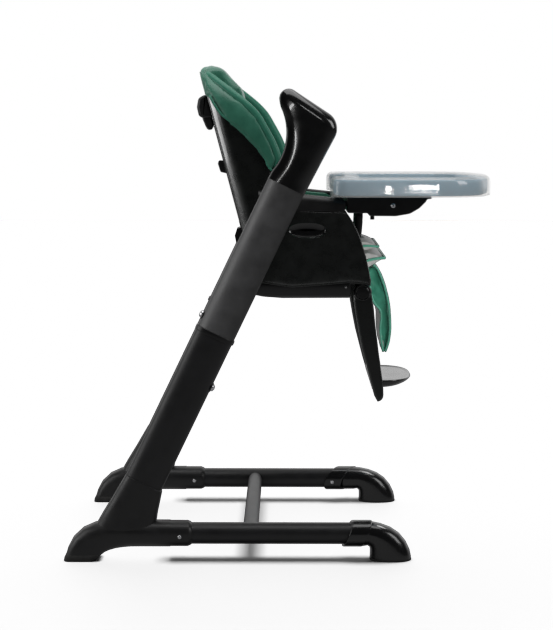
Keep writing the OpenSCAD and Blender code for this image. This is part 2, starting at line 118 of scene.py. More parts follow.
def fillet(corners, steps=6):
    """A closed outline from corners (x, z, radius), each rounded."""
    points = []
    count = len(corners)
    for i, (x, z, r) in enumerate(corners):
        p = Vector((x, z))
        before = Vector(corners[i - 1][:2]) - p
        after = Vector(corners[(i + 1) % count][:2]) - p
        if r <= 0:
            points.append((x, z))
            continue
        u, v = before.normalized(), after.normalized()
        half = u.angle(v) / 2
        if half > math.radians(88):
            points.append((x, z))
            continue
        cut = min(r / math.tan(half), 0.48 * before.length, 0.48 * after.length)
        radius = cut * math.tan(half)
        centre = p + (u + v).normalized() * (radius / math.sin(half))
        start, end = p + u * cut - centre, p + v * cut - centre
        a0 = math.atan2(start.y, start.x)
        turn = (math.atan2(end.y, end.x) - a0 + math.pi) % (2 * math.pi) - math.pi
        for k in range(steps + 1):
            a = a0 + turn * k / steps
            points.append((centre.x + radius * math.cos(a), centre.y + radius * math.sin(a)))
    return points


def resample(outline, step):
    """The closed outline with extra points, so that no edge is longer than step."""
    points = []
    for i, a in enumerate(outline):
        b = outline[(i + 1) % len(outline)]
        n = max(1, math.ceil(math.dist(a, b) / step))
        points += [(a[0] + (b[0] - a[0]) * k / n, a[1] + (b[1] - a[1]) * k / n) for k in range(n)]
    return points


def tidy(outline, least=0.05):
    """Counterclockwise, with no repeated points."""
    kept = [p for i, p in enumerate(outline) if math.dist(p, outline[i - 1]) > least]
    area = sum(a[0] * b[1] - b[0] * a[1] for a, b in zip(kept, kept[1:] + kept[:1]))
    return kept if area > 0 else kept[::-1]


def inset(outline, d):
    """The counterclockwise outline moved inwards by d, a number or one for each point."""
    p = np.array(outline, float)
    edge = np.roll(p, -1, 0) - p
    edge /= np.linalg.norm(edge, axis=1)[:, None]
    normal = np.stack([-edge[:, 1], edge[:, 0]], 1)
    mean = normal + np.roll(normal, 1, 0)
    mean /= np.linalg.norm(mean, axis=1)[:, None]
    stretch = np.clip((mean * normal).sum(1), 0.6, 1)
    return p + mean * (np.broadcast_to(d, len(p)) / stretch)[:, None]


def rear_x(z):
    return REAR_X0 - (z - REAR_Z0) * math.tan(BACK_LEAN)


def round_turn(n):
    """Angles of a full turn in n steps."""
    return np.linspace(0, 2 * math.pi, n, endpoint=False)


def fuller(v, power):
    """A sine or cosine made to draw an oval that is fuller for a power above 2."""
    return math.copysign(abs(v) ** (2 / power), v)


def ellipse(w, t, n=64, power=2.0):
    """An ellipse of length w and height t, fuller for a power above 2, centred."""
    return [(w / 2 * fuller(math.cos(v), power), t / 2 * fuller(math.sin(v), power)) for v in round_turn(n)]


# ---------- meshes ----------


def loft(rings, cap=True):
    """Vertices and faces of a skin through rings of the same number of points."""
    n = len(rings[0])
    verts = [tuple(v) for ring in rings for v in ring]
    faces = []
    for k in range(len(rings) - 1):
        for i in range(n):
            j = (i + 1) % n
            faces.append((k * n + i, k * n + j, (k + 1) * n + j, (k + 1) * n + i))
    if cap:
        faces.append(tuple(range(n))[::-1])
        faces.append(tuple((len(rings) - 1) * n + i for i in range(n)))
    return verts, faces


def plate(outline, y0, y1, r, steps=4, flat=None):
    """A plate with an outline in X and Z, from y0 to y1, its edges rounded by r.

    flat is how far the rounding reaches inwards, a number or one for each point."""
    outline = tidy(outline)
    flat = r if flat is None else flat
    near, far = [], []
    for k in range(steps + 1):
        a = math.pi / 2 * k / steps
        ring = inset(outline, np.asarray(flat) * (1 - math.sin(a)))
        depth = r * (1 - math.cos(a))
        near.append([(x, y0 + depth, z) for x, z in ring])
        far.append([(x, y1 - depth, z) for x, z in ring])
    return loft(near + far[::-1])


def slab(outline, z0, z1, r, steps=4):
    """A plate lying flat: its outline is in X and Y."""
    verts, faces = plate(outline, z0, z1, r, steps)
    return [(x, y, z) for x, z, y in verts], [f[::-1] for f in faces]


def section(a, b, half_y, n=40, power=2.3):
    """A ring round the line from a to b in X and Z, half_y thick on each side of the right runner."""
    a, b = Vector(a), Vector(b)
    mid, u = (a + b) / 2, (b - a) / 2
    ring = []
    for t in round_turn(n):
        c, s = fuller(math.cos(t), power), fuller(math.sin(t), power)
        ring.append((mid.x + u.x * c, -SIDE_Y + half_y * s, mid.y + u.y * c))
    return ring


def on_leg(s, x=0.0, y=0.0):
    """A point of the right leg's own frame: s up the leg, x to its front face."""
    return (LEG_X0 + s * math.sin(LEAN) + x * math.cos(LEAN), -SIDE_Y + y,
            s * math.cos(LEAN) - x * math.sin(LEAN))


def leg_ring(s, w, t):
    return [on_leg(s, x, y) for x, y in ellipse(w, t, 72, 2.5)]


def tube(path, r, n=10):
    """A tube along a path of points."""
    pts = [Vector(p) for p in path]
    rings = []
    normal = None
    for i, p in enumerate(pts):
        ahead = (pts[min(i + 1, len(pts) - 1)] - pts[max(i - 1, 0)]).normalized()
        if normal is None:
            normal = ahead.orthogonal().normalized()
        normal = (normal - ahead * normal.dot(ahead)).normalized()
        side = ahead.cross(normal)
        rings.append([p + normal * (r * math.cos(a)) + side * (r * math.sin(a)) for a in round_turn(n)])
    return loft(rings)


def turned(profile, centre, axis, n=40):
    """A solid turned about an axis through centre; the profile is (radius, along) pairs."""
    centre, axis = Vector(centre), Vector(axis).normalized()
    u = axis.orthogonal().normalized()
    v = axis.cross(u)
    rings = []
    for radius, along in profile:
        rings.append([centre + axis * along + (u * math.cos(t) + v * math.sin(t)) * radius
                      for t in round_turn(n)])
    return loft(rings)


def join(*parts):
    """Several meshes as one."""
    verts, faces = [], []
    for v, f in parts:
        base = len(verts)
        verts += list(v)
        faces += [tuple(base + i for i in face) for face in f]
    return verts, faces


def both(part):
    """A right-hand mesh and its mirror image, as one mesh."""
    verts, faces = part
    return join(part, ([(x, -y, z) for x, y, z in verts], [f[::-1] for f in faces]))


def make(name, part, look, mirror=False, angle=35):
    verts, faces = part
    if mirror:
        verts = [(x, -y, z) for x, y, z in verts]
    mesh = bpy.data.meshes.new(name)
    mesh.from_pydata([(Vector(v) - DROP) * MM for v in verts], [], faces)
    bm = bmesh.new()
    bm.from_mesh(mesh)
    bmesh.ops.remove_doubles(bm, verts=bm.verts, dist=1e-6)
    bmesh.ops.recalc_face_normals(bm, faces=bm.faces)
    bm.to_mesh(mesh)
    bm.free()
    obj = bpy.data.objects.new(name, mesh)
    scene.collection.objects.link(obj)
    finish_surface(obj, look, angle)
    return obj


def finish_surface(obj, look, angle=35):
    obj.data.materials.clear()
    obj.data.materials.append(LOOKS[look])
    for p in obj.data.polygons:
        p.use_smooth = True
    obj.data.set_sharp_from_angle(angle=math.radians(angle))


def applied(obj):
    """The object with its modifiers made part of its mesh."""
    graph = bpy.context.evaluated_depsgraph_get()
    mesh = bpy.data.meshes.new_from_object(obj.evaluated_get(graph))
    obj.modifiers.clear()
    obj.data = mesh
    return obj


def cut(obj, *parts):
    """Takes each part away from the object."""
    for part in parts:
        cutter = make("cutter", part, "satin_black")
        mod = obj.modifiers.new("cut", "BOOLEAN")
        mod.operation = "DIFFERENCE"
        mod.solver = "EXACT"
        mod.object = cutter
        applied(obj)
        bpy.data.objects.remove(cutter)
    return obj


def weighted(obj, angle=35):
    """The object with even shading next to its large flat faces."""
    obj.data.set_sharp_from_angle(angle=math.radians(angle))
    mod = obj.modifiers.new("weighted", "WEIGHTED_NORMAL")
    mod.keep_sharp = True
    return obj


def place(obj, body, *stands_for):
    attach(obj, body)
    if stands_for:
        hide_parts(*stands_for)
    return obj


def put(name, part, look, body, *stands_for, angle=35):
    """A piece on its body, standing for the CAD nodes that it draws anew."""
    return place(make(name, part, look, angle=angle), body, *stands_for)


def put_even(name, part, look, body, *stands_for, angle=50):
    """The same for a piece with large flat faces, shaded evenly."""
    return place(weighted(make(name, part, look, angle=angle)), body, *stands_for)


def pair(name, part, look, body, stands_for=(), angle=35, change=None):
    """The right-hand piece and its mirror image, each standing for its own side's nodes."""
    for side, mirror in (("right", False), ("left", True)):
        obj = make(f"{name}_{side}", part, look, mirror, angle)
        if change:
            change(obj, 1 if mirror else -1)
        weighted(obj, angle)
        names = [n.replace("SIDE", side) for n in stands_for]
        place(obj, body.replace("SIDE", side), *names)


# ---------- materials ----------


def material(name, color, rough, **sockets):
    m = bpy.data.materials.new(name)
    m.use_nodes = True
    shader = m.node_tree.nodes["Principled BSDF"]
    shader.inputs["Base Color"].default_value = (*color, 1)
    shader.inputs["Roughness"].default_value = rough
    for key, value in sockets.items():
        shader.inputs[key.replace("_", " ")].default_value = value
    return m


class Nodes:
    """Short calls for the node trees below."""

    def __init__(self, m):
        self.tree = m.node_tree
        self.shader = self.tree.nodes["Principled BSDF"]
        self.place = self.add("ShaderNodeTexCoord").outputs["Object"]

    def add(self, kind, **values):
        node = self.tree.nodes.new(kind)
        for key, value in values.items():
            setattr(node, key, value)
        return node

    def link(self, a, b):
        self.tree.links.new(a, b)

    def noise(self, scale, detail=4.0, rough=0.5, stretch=None):
        node = self.add("ShaderNodeTexNoise")
        node.inputs["Scale"].default_value = scale
        node.inputs["Detail"].default_value = detail
        node.inputs["Roughness"].default_value = rough
        self.link(self.moved(stretch), node.inputs["Vector"])
        return node.outputs["Fac"]

    def moved(self, stretch):
        if stretch is None:
            return self.place
        node = self.add("ShaderNodeMapping")
        node.inputs["Scale"].default_value = stretch
        self.link(self.place, node.inputs["Vector"])
        return node.outputs["Vector"]

    def cells(self, scale):
        node = self.add("ShaderNodeTexVoronoi", feature="F1")
        node.inputs["Scale"].default_value = scale
        self.link(self.place, node.inputs["Vector"])
        return node.outputs["Distance"]

    def span(self, value, low, high, to_low, to_high):
        node = self.add("ShaderNodeMapRange")
        for key, number in (("From Min", low), ("From Max", high), ("To Min", to_low), ("To Max", to_high)):
            node.inputs[key].default_value = number
        self.link(value, node.inputs["Value"])
        return node.outputs["Result"]

    def math(self, operation, a, b):
        node = self.add("ShaderNodeMath", operation=operation)
        for socket, value in zip(node.inputs, (a, b)):
            if isinstance(value, (int, float)):
                socket.default_value = value
            else:
                self.link(value, socket)
        return node.outputs["Value"]

    def tint(self, value, a, b):
        """Base colour from a to b as value goes from 0 to 1."""
        node = self.add("ShaderNodeMix", data_type="RGBA")
        node.inputs["A"].default_value = (*a, 1)
        node.inputs["B"].default_value = (*b, 1)
        self.link(value, node.inputs["Factor"])
        self.link(node.outputs["Result"], self.shader.inputs["Base Color"])

    def bump(self, height, depth, strength=1.0):
        node = self.add("ShaderNodeBump")
        node.inputs["Distance"].default_value = depth
        node.inputs["Strength"].default_value = strength
        self.link(height, node.inputs["Height"])
        self.link(node.outputs["Normal"], self.shader.inputs["Normal"])

    def roughness(self, value, low, high, to_low, to_high):
        self.link(self.span(value, low, high, to_low, to_high), self.shader.inputs["Roughness"])


def powder_coat(name, color, rough):
    """Satin powder coat: a fine pebbled skin with faint mottling."""
    m = material(name, color, rough)
    n = Nodes(m)
    pebble = n.noise(1100, 2)
    n.bump(pebble, 0.00012, 0.55)
    mottle = n.noise(26, 5, 0.6)
    n.tint(n.span(mottle, 0.3, 0.7, 0, 1), [c * 0.75 for c in color], [c * 1.3 for c in color])
    n.roughness(mottle, 0.3, 0.7, rough - 0.05, rough + 0.06)
    return m


def moulded(name, color, rough, grain, depth, coat=0.0):
    """Injection-moulded plastic: spark-eroded grain, faint flow marks, handling marks."""
    m = material(name, color, rough, Coat_Weight=coat, Coat_Roughness=0.06)
    n = Nodes(m)
    fine = n.noise(grain, 3)
    wave = n.noise(9, 3, stretch=(1, 1, 0.5))
    n.bump(n.math("ADD", n.math("MULTIPLY", fine, 1.0), n.math("MULTIPLY", wave, 1.4)), depth, 0.6)
    rub = n.noise(38, 6, 0.65)
    n.roughness(rub, 0.35, 0.75, rough * 0.88, rough * 1.3 + 0.02)
    n.tint(n.span(rub, 0.3, 0.75, 0, 1), [c * 0.9 for c in color], [c * 1.25 for c in color])
    return m


def leather(name, color, dark, rough, sheen=0.12, coat=0.15, specular=0.5):
    """Grained leather-like cover: small cells, soft creases, colour that drifts."""
    m = material(name, color, rough, Sheen_Weight=sheen, Sheen_Roughness=0.5, Coat_Weight=coat,
                 Coat_Roughness=0.2, Specular_IOR_Level=specular)
    n = Nodes(m)
    cell = n.cells(620)
    pore = n.noise(1600, 2)
    crease = n.noise(34, 6, 0.6)
    grain = n.math("ADD", n.math("MULTIPLY", cell, 0.8), n.math("MULTIPLY", pore, 0.35))
    n.bump(n.math("ADD", grain, n.math("MULTIPLY", crease, 1.6)), 0.00035, 0.3)
    n.tint(n.span(crease, 0.3, 0.72, 0, 1), dark, color)
    n.roughness(crease, 0.3, 0.7, rough - 0.07, rough + 0.1)
    return m


def woven(name, color, dark):
    """Webbing: ribs across and yarns along it."""
    m = material(name, color, 0.8, Sheen_Weight=0.3)
    n = Nodes(m)
    rib = n.add("ShaderNodeTexWave", wave_type="BANDS", bands_direction="Z")
    rib.inputs["Scale"].default_value = 240
    rib.inputs["Distortion"].default_value = 0.6
    n.link(n.place, rib.inputs["Vector"])
    yarn = n.add("ShaderNodeTexWave", wave_type="BANDS", bands_direction="Y")
    yarn.inputs["Scale"].default_value = 300
    n.link(n.place, yarn.inputs["Vector"])
    weave = n.math("MULTIPLY", rib.outputs["Fac"], yarn.outputs["Fac"])
    n.bump(weave, 0.0006, 0.8)
    n.tint(weave, dark, color)
    return m


def rubber(name):
    m = material(name, (0.018, 0.018, 0.018), 0.75)
    n = Nodes(m)
    dust = n.noise(60, 6, 0.7)
    n.bump(n.noise(900, 3), 0.0003, 0.6)
    n.tint(n.span(dust, 0.4, 0.8, 0, 1), (0.012, 0.012, 0.012), (0.035, 0.034, 0.032))
    return m


def bright_metal(name):
    m = material(name, (0.72, 0.72, 0.74), 0.22, Metallic=1.0)
    n = Nodes(m)
    turned_marks = n.noise(500, 4, stretch=(1, 4, 1))
    n.roughness(turned_marks, 0.3, 0.7, 0.14, 0.32)
    n.bump(turned_marks, 0.00005, 0.4)
    return m


def tray_plastic(name, color):
    """Solid glossy tray plastic with very light wear on its surface."""
    m = material(name, color, 0.22, Subsurface_Weight=0.08, Coat_Weight=0.35, Coat_Roughness=0.08)
    m.node_tree.nodes["Principled BSDF"].inputs["Subsurface Radius"].default_value = (0.01, 0.01, 0.01)
    n = Nodes(m)
    rub = n.noise(45, 6, 0.65)
    n.roughness(rub, 0.35, 0.75, 0.16, 0.34)
    n.bump(n.noise(12, 3), 0.0006, 0.5)
    n.tint(n.span(rub, 0.3, 0.8, 0, 1), [c * 0.96 for c in color], [min(1, c * 1.05) for c in color])
    return m


def clear_plastic(name):
    """Thin clear plastic that has gone slightly milky."""
    m = material(name, (0.70, 0.72, 0.72), 0.03, Alpha=0.29, Specular_IOR_Level=0.9, Coat_Weight=1.0,
                 Coat_Roughness=0.006)
    n = Nodes(m)
    scratch = n.noise(70, 6, 0.7, stretch=(1, 3, 1))
    n.roughness(scratch, 0.35, 0.8, 0.04, 0.16)
    n.bump(n.noise(14, 2), 0.0003, 0.3)
    return m


GREEN = (0.040, 0.215, 0.140)
GREEN_DARK = (0.026, 0.150, 0.096)

LOOKS = {
    "frame_black": powder_coat("powder_coat_black", (0.011, 0.011, 0.012), 0.42),
    # The upper tubes have the frame's black powder coat made about three times lighter: painted light for
    # the upper legs, which the lamps above catch more.
    "upper_tube_lit": powder_coat("powder_coat_black_lit", (0.036, 0.036, 0.037), 0.46),
    "bar_black": powder_coat("powder_coat_graphite", (0.07, 0.07, 0.072), 0.45),
    "head_black": moulded("head_black_plastic", (0.0055, 0.0057, 0.006), 0.16, 260, 0.00006, coat=0.6),
    "elbow_black": moulded("elbow_black_plastic", (0.007, 0.007, 0.0075), 0.2, 300, 0.00008, coat=0.4),
    "foot_black": moulded("foot_black_plastic", (0.012, 0.012, 0.0125), 0.38, 900, 0.00008),
    "shell_black": moulded("shell_black_plastic", (0.0045, 0.0055, 0.005), 0.27, 500, 0.00003, coat=0.4),
    "arm_black": moulded("arm_black_plastic", (0.008, 0.008, 0.0085), 0.42, 900, 0.0001),
    "gloss_black": moulded("gloss_black_plastic", (0.0055, 0.0055, 0.006), 0.2, 300, 0.0001, coat=0.5),
    "satin_black": moulded("satin_black_plastic", (0.006, 0.006, 0.0064), 0.34, 900, 0.00012),
    "rubber": rubber("black_rubber"),
    "bright_metal": bright_metal("bright_metal"),
    "green_cover": leather("green_leatherette", GREEN, GREEN_DARK, 0.42),
    # The rim look is the green leatherette made a little lighter: a painted highlight for the light that
    # falls on the rolled edge, the welts and the calf flap.
    "cover_rim_lit": leather("green_leatherette_lit_rim", (0.045, 0.235, 0.155), (0.036, 0.19, 0.125), 0.36,
                         sheen=0.0, coat=0.06, specular=0.3),
    "green_piping": leather("green_piping", (0.11, 0.40, 0.28), (0.085, 0.33, 0.23), 0.45),
    "grey_pad": leather("grey_leatherette", (0.50, 0.50, 0.485), (0.40, 0.40, 0.39), 0.5),
    "webbing": woven("black_webbing", (0.02, 0.02, 0.021), (0.006, 0.006, 0.006)),
    "tray_body": tray_plastic("blue_grey_plastic", (0.15, 0.39, 0.55)),
    "tray_clear": clear_plastic("clear_plastic"),
}
SHARED_SLOTS = {
    "frame_black": ("bar_black", "upper_tube_lit"),
    "green_cover": ("cover_rim_lit", "green_piping"),
    "gloss_black": ("foot_black", "head_black", "elbow_black"),
    "satin_black": ("shell_black", "arm_black"),
}
SLOT_OF = {name: name for name in LOOKS}
for slot, names in SHARED_SLOTS.items():
    SLOT_OF.update(dict.fromkeys(names, slot))

# ---------- base ----------


def rear_foot():
    """A bent horn from the runner sleeve to the toe, and the leg's oval socket."""
    pairs = [((-460.6, 20), (-384, 20), 28.6, 5), ((-456.5, 34), (-378, 24.5), 28.4, 4.4),
             ((-446, 54), (-368, 28.5), 28.2, 3.6), ((-425, 74), (-354, 31.8), 28, 3),
             ((-399, 86), (-338, 33.6), 28, 2.6), ((-370, 90.3), (-322, 34.4), 28, 2.3),
             ((-335, 90.5), (-300, 34.5), 28, 2.2), ((-262, 90.5), (-262, 34.5), 28, 2.2),
             ((-239, 90.5), (-239, 34.5), 28, 2.2), ((-238, 89.6), (-238, 35.4), 27.2, 2.2),
             ((-201, 89.6), (-201, 35.5), 27.2, 2.2), ((-196, 87.6), (-196, 37.4), 25.4, 2.2),
             ((-191.5, 84.3), (-191.5, 40.7), 22.2, 2.2), ((-190.6, 83), (-190.6, 42), 20.6, 2.2)]
    horn = loft([section(a, b, h, power=p) for a, b, h, p in pairs])
    sides = [((-408, 58), (-276, 64), 27), ((-401, 74), (-271, 80), 26.4), ((-392, 91), (-267.5, 94), 25),
             ((-380, 112), (-265, 110), 23.8), ((-362, 141), (-260.5, 131), 23.2),
             ((-334, 189), (-256, 152.5), 23),
             ((-332.4, 191.8), (-256.6, 155.4), 22.7), ((-332, 192.4), (-257.2, 156.4), 21.6)]
    socket = loft([section(a, b, h, power=2.9, n=56) for a, b, h in sides])
    return join(horn, socket)


def rear_pad():
    rings = [((-464.8, 6.6), (-397.6, 6.6), 29.4), ((-465.3, 8), (-396.6, 8), 30),
             ((-464, 14), (-390.6, 14), 29.8),
             ((-461.4, 19), (-385.6, 19), 29.2), ((-460.8, 19.9), (-384.8, 19.9), 28.4)]
    return loft([section(a, b, h, power=6) for a, b, h in rings])


def slanted_ring(x, r, slant, n=48):
    """A ring round the runner's axis, in a plane that leans back at the bottom and inside."""
    ring = []
    for t in round_turn(n):
        y, z = r * math.cos(t), r * math.sin(t)
        ring.append((x - slant * y + 0.40 * z, -SIDE_Y + y, RUNNER_Z + z))
    return ring


def front_foot(shift, slant):
    """A round elbow from the runner sleeve down to the toe, and the clamp ring behind it."""
    pairs = [((150, 89.3), (150, 35.7), 26.9, 2), ((176, 89.3), (176, 35.8), 26.9, 2),
             ((193, 87.8), (184, 37.4), 27, 2),
             ((213, 83.6), (188.6, 35), 27.2, 2.05), ((234, 75.5), (190.2, 31), 27.6, 2.1),
             ((252, 63), (190.4, 26.5), 28, 2.15), ((266, 46), (190.4, 21.5), 28.4, 2.2),
             ((274.5, 28), (190.2, 16), 28.8, 2.25), ((277.6, 14), (190, 11.5), 29.2, 2.3),
             ((277.6, 10.1), (190, 10.1), 29.2, 2.3)]
    elbow = loft([section(a, b, h, power=p) for a, b, h, p in pairs])
    clamp = loft([slanted_ring(x + shift, r, slant) for x, r in
                  ((124.3, 22.8), (124.3, 26.6), (125.2, 27.7), (127, 28), (162, 28), (164.4, 27.8),
                   (165.3, 27.2), (165.3, 26))])
    return join(elbow, clamp)


def front_pad():
    rings = [((278, 6.6), (190, 6.6), 29.6), ((278.4, 7.6), (189.6, 7.6), 29.9),
             ((278, 9.9), (190, 9.9), 29.4)]
    return loft([section(a, b, h, power=2.3) for a, b, h in rings])


def screw_head(at, y, out):
    """A pan-head screw whose head faces along out, with a dished recess."""
    x, z = at
    profile = [(0.01, -1.2), (1.0, -1.2), (1.5, -0.1), (2.8, -0.2), (3.9, -0.9), (4.4, -2.0), (4.4, -3.2),
               (0.01, -3.2)]
    return turned(profile, (x, y, z), (0, out, 0), 24)


pair("rear_foot_moulding", rear_foot(), "foot_black", "frame", ["rear_foot_SIDE"], 50)
for side, shift, slant in (("right", 17, 0.1), ("left", 0, 0.67)):
    name = f"front_foot_moulding_{side}"
    elbow = weighted(make(name, front_foot(shift, slant), "elbow_black", side == "left", 45), 45)
    place(elbow, "frame", f"front_foot_{side}")
put("rear_toe_pads", both(rear_pad()), "rubber", "frame", "rear_foot_pads")
put("front_toe_pads", both(front_pad()), "rubber", "frame", "front_foot_pads")
foot_screws = join(screw_head((-217, 60), -SIDE_Y - 29.9, -1), screw_head((-217, 60), -SIDE_Y + 29.9, 1),
                   screw_head((123, 57), -SIDE_Y + 30.2, 1))
put("foot_screws", both(foot_screws), "bright_metal", "frame", "base_screws")


def carry_over(name, look, angle=35):
    """A CAD part that stays, with its own material."""
    obj = nodes[name]
    finish_surface(obj, look, angle)
    return obj


for kept in ("runner_tube_right", "runner_tube_left"):
    carry_over(kept, "frame_black")
carry_over("cross_bar", "bar_black")
for kept in ("seat_bracket_right", "seat_bracket_left", "strap_box", "tray_rails", "tray_peg"):
    carry_over(kept, "satin_black")
for kept in ("bracket_bolts", "backrest_pins", "footrest_pins"):
    carry_over(kept, "bright_metal")

# ---------- legs ----------


def leg_tube(s0, s1):
    return loft([leg_ring(s, LEG_W, LEG_T) for s in (s0, s1)])


pair("lower_leg_tube", leg_tube(100, COLLAR_S), "frame_black", "frame", ["lower_leg_SIDE"])
# The upper tubes take the lighter copy of the black coat, a painted highlight.
pair("upper_leg_tube", leg_tube(COLLAR_S, HEAD_S + 0.5), "upper_tube_lit", "frame", ["upper_leg_SIDE"])


def collar():
    rings = [(540.5, 0.2), (541, 1.4), (542.5, 2.4), (549.5, 2.4), (551, 1.4), (551.5, 0.2)]
    return loft([leg_ring(s, LEG_W + 2 * g, LEG_T + 2 * g) for s, g in rings], cap=False)


def spigot():
    inner = 5.0
    return loft([leg_ring(s, LEG_W - inner, LEG_T - inner) for s in (545, 547)])


def dome(s, front):
    """A domed snap button that stands out of the leg's front or rear face."""
    base = on_leg(s, front * 38.0)
    axis = Vector((front * math.cos(LEAN), 0, -front * math.sin(LEAN)))
    profile = [(0.01, -4), (8.0, -4), (8.0, 4.6), (7.6, 6.4), (6.4, 8.4), (4.4, 9.8), (2.2, 10.5),
               (0.01, 10.7)]
    collet = [(10.8, 2.0), (10.9, 3.6), (10.2, 4.6), (8.3, 4.9), (8.1, 3)]
    return turned(profile, base, axis, 36), turned(collet, base, axis, 36)


pair("leg_collar", join(collar(), spigot()), "satin_black", "frame", ["leg_coupler_SIDE"])
front_button, front_collet = dome(440.6, 1)
rear_button, rear_collet = dome(573.8, -1)
pair("snap_button", front_button, "bright_metal", "snap_button_SIDE", ["snap_button_SIDE"], 50)
pair("snap_button_collet", front_collet, "satin_black", "frame", (), 50)
put("catch_button_dome", rear_button, "bright_metal", "catch_button", "catch_button", angle=50)
put("catch_button_collet", rear_collet, "satin_black", "frame", angle=50)


def crossing(outline, at, up):
    """Where an open outline climbs through the line that passes a point, square to up."""
    for p, q in zip(outline, outline[1:]):
        low, high = (Vector(p) - at).dot(up), (Vector(q) - at).dot(up)
        if low <= 0 <= high and high > low:
            return Vector(p).lerp(Vector(q), -low / (high - low))
    return Vector(outline[-1])


def head():
    """The hook: oval sections that climb from the seam, and close in a dome along the slanted top."""
    seam = Vector((LEG_X0 + HEAD_S * math.sin(LEAN), HEAD_S * math.cos(LEAN)))
    half = Vector((math.cos(LEAN), -math.sin(LEAN))) * (LEG_W / 2 + 0.6)
    lean = math.degrees(LEAN)
    rear = [tuple(seam - half), (-20.5, 838)] + arc(-111, 918, 121, 121, -33, 26.5, 22)
    rear += arc(15, 988, 20, 20, 186, 56.7, 18)
    front = [tuple(seam + half)] + arc(78, 925, 38, 38, -lean, 56.7, 18)
    crest_a, crest_b = Vector((26, 1004.7)), Vector((98.9, 956.8))
    up_low = Vector((math.sin(LEAN), math.cos(LEAN)))
    up_high = Vector((crest_a.y - crest_b.y, crest_b.x - crest_a.x)).normalized()
    reach, thick = 24.0, LEG_T / 2 + 0.9
    top = (crest_a + crest_b) / 2 - up_high * reach
    rings = []
    for t in np.linspace(0, 1, 25):
        at = seam.lerp(top, t) + up_low * 0.1 * (1 - t)
        up = up_low.lerp(up_high, t).normalized()
        power = 2.5 + 0.4 * max(0.0, 1 - t / 0.1)
        rings.append(section(crossing(rear, at, up), crossing(front, at, up), thick, power=power, n=64))
    for turn in np.radians(np.linspace(5, 89, 18)):
        at = top + up_high * (reach * math.sin(turn))
        rings.append(section(crossing(rear, at, up_high), crossing(front, at, up_high),
                             thick * math.cos(turn), power=2.5, n=64))
    return loft(rings)


pair("leg_head", head(), "head_black", "frame", ["head_shell_SIDE", "head_cover_SIDE"], 60)

# ---------- seat ----------

PANEL_REAR = [(582, -110), (596, -112), (612, -116), (640, -104), (700, -77), (757, -52)]        # (z, x)
PANEL_FRONT = [(584, 193), (598, 193.3), (616, 190), (650, 182.6), (681, 173), (702, 165), (720, 156.5),
               (736, 146.5),
               (745, 139.5)]
PANEL_LOW = [(-117, 600), (-48, 593), (22, 582.5), (100, 588.5), (150, 593), (176, 590.5),
             (193, 586)]     # (x, z)
PANEL_TOP = [(-52, 756.5), (38, 748.9), (134, 745.8), (140, 745)]
BUTTON_MID = (55.5, 707.0)
BUTTON_LEN = 83.0
BUTTON_HIGH = 34.0


def moved(outline, dx, dz):
    return [(x + dx, z + dz) for x, z in outline]


def side_panel(obj, sign):
    """Opens the oval hole for the side button in a side panel."""
    hole = moved(ellipse(BUTTON_LEN, BUTTON_HIGH, 64, 2.25), *BUTTON_MID)
    y0, y1 = sorted((sign * (SEAT_HALF + 6), sign * (SEAT_HALF - 12)))
    cut(obj, plate(hole, y0, y1, 0.5, 1))
    finish_surface(obj, "shell_black")


def between(rows, at):
    return float(np.interp(at, [r[0] for r in rows], [r[1] for r in rows]))


def seat_panel():
    """A side panel that flares out a little towards its curved lower edge, where it turns in again."""
    r, deep = 2.4, 3.6
    lows = [0, 0.4, 1.2, 2.4, 5, 8, 12, 17, 23, 30, 38, 55, 75, 95, 115, 135]
    shares = [h / 160 for h in lows] + [1 - d / 160 for d in (8, 2.4, 1.2, 0.4, 0)]
    ends = [d / 280 for d in (0, 0.4, 1.2, 2.4)]
    across = ends + [float(u) for u in np.linspace(0.04, 0.96, 24)] + [1 - u for u in ends[::-1]]
    rings = []
    for t in shares:
        outer = []
        for u in across:
            z = 590 + 160 * t
            for _ in range(4):
                x = between(PANEL_REAR, z) * (1 - u) + between(PANEL_FRONT, z) * u
                low, top = between(PANEL_LOW, x), between(PANEL_TOP, x)
                z = low + (top - low) * t
            edge = min(r, z - low, top - z, 280 * u, 280 * (1 - u))
            turn = r - math.sqrt(max(0.0, r * r - (r - edge) ** 2))
            flare = deep * min(1.0, max(0.0, (z - low - 3) / 36)) ** 0.6
            outer.append((x, -SEAT_HALF + flare + turn, z))
        rings.append(outer + [(x, -SEAT_HALF + 8, z) for x, y, z in outer[::-1]])
    return loft(rings)


pair("seat_side_panel", seat_panel(), "shell_black", "frame", (), 35, side_panel)


def seat_pan():
    pan = slab(fillet([(-112, -SEAT_HALF + 6.2, 6), (188, -SEAT_HALF + 6.2, 10), (188, SEAT_HALF - 6.2, 10),
                       (-112, SEAT_HALF - 6.2, 6)]), PAN_Z - 6, PAN_Z - 0.5, 2)
    lug = plate(fillet([(160, 599, 0), (160, 571, 10), (162, 555.5, 14), (190, 555.5, 14), (192, 571, 10),
                        (192, 599, 0)]), -156, -150, 1.5, 3)
    rib = plate(fillet([(-100, 599, 0), (-92, 588, 6), (150, 588, 6), (158, 599, 0)]), -121, -117, 1, 2)
    return join(pan, both(lug), both(rib))


put("seat_pan", seat_pan(), "satin_black", "frame", "seat_shell")


def seat_tub():
    """The lower moulding: its sides slope in from the crease under the side panels."""
    levels = [(594, 184.6, -112, 149.6), (588, 185.2, -110, 149.8), (582, 185.2, -105, 150),
              (574, 183.5, -92, 150),
              (566, 180, -72, 150), (560.5, 174.5, -45, 149.5), (558, 168, -12, 148), (557.3, 150, 20, 140)]
    rings = []
    for z, half, back, fore in levels:
        r = 16.0
        ring = fillet([(back, -half, r), (fore, -half, 4), (fore, half, 4), (back, half, r)], 6)
        rings.append([(x, y, z + 0.00012 * (x - 60) ** 2 * (590 - z) / 30) for x, y in ring])
    return loft(rings[::-1])


put_even("seat_lower_moulding", seat_tub(), "satin_black", "frame", "seat_base")


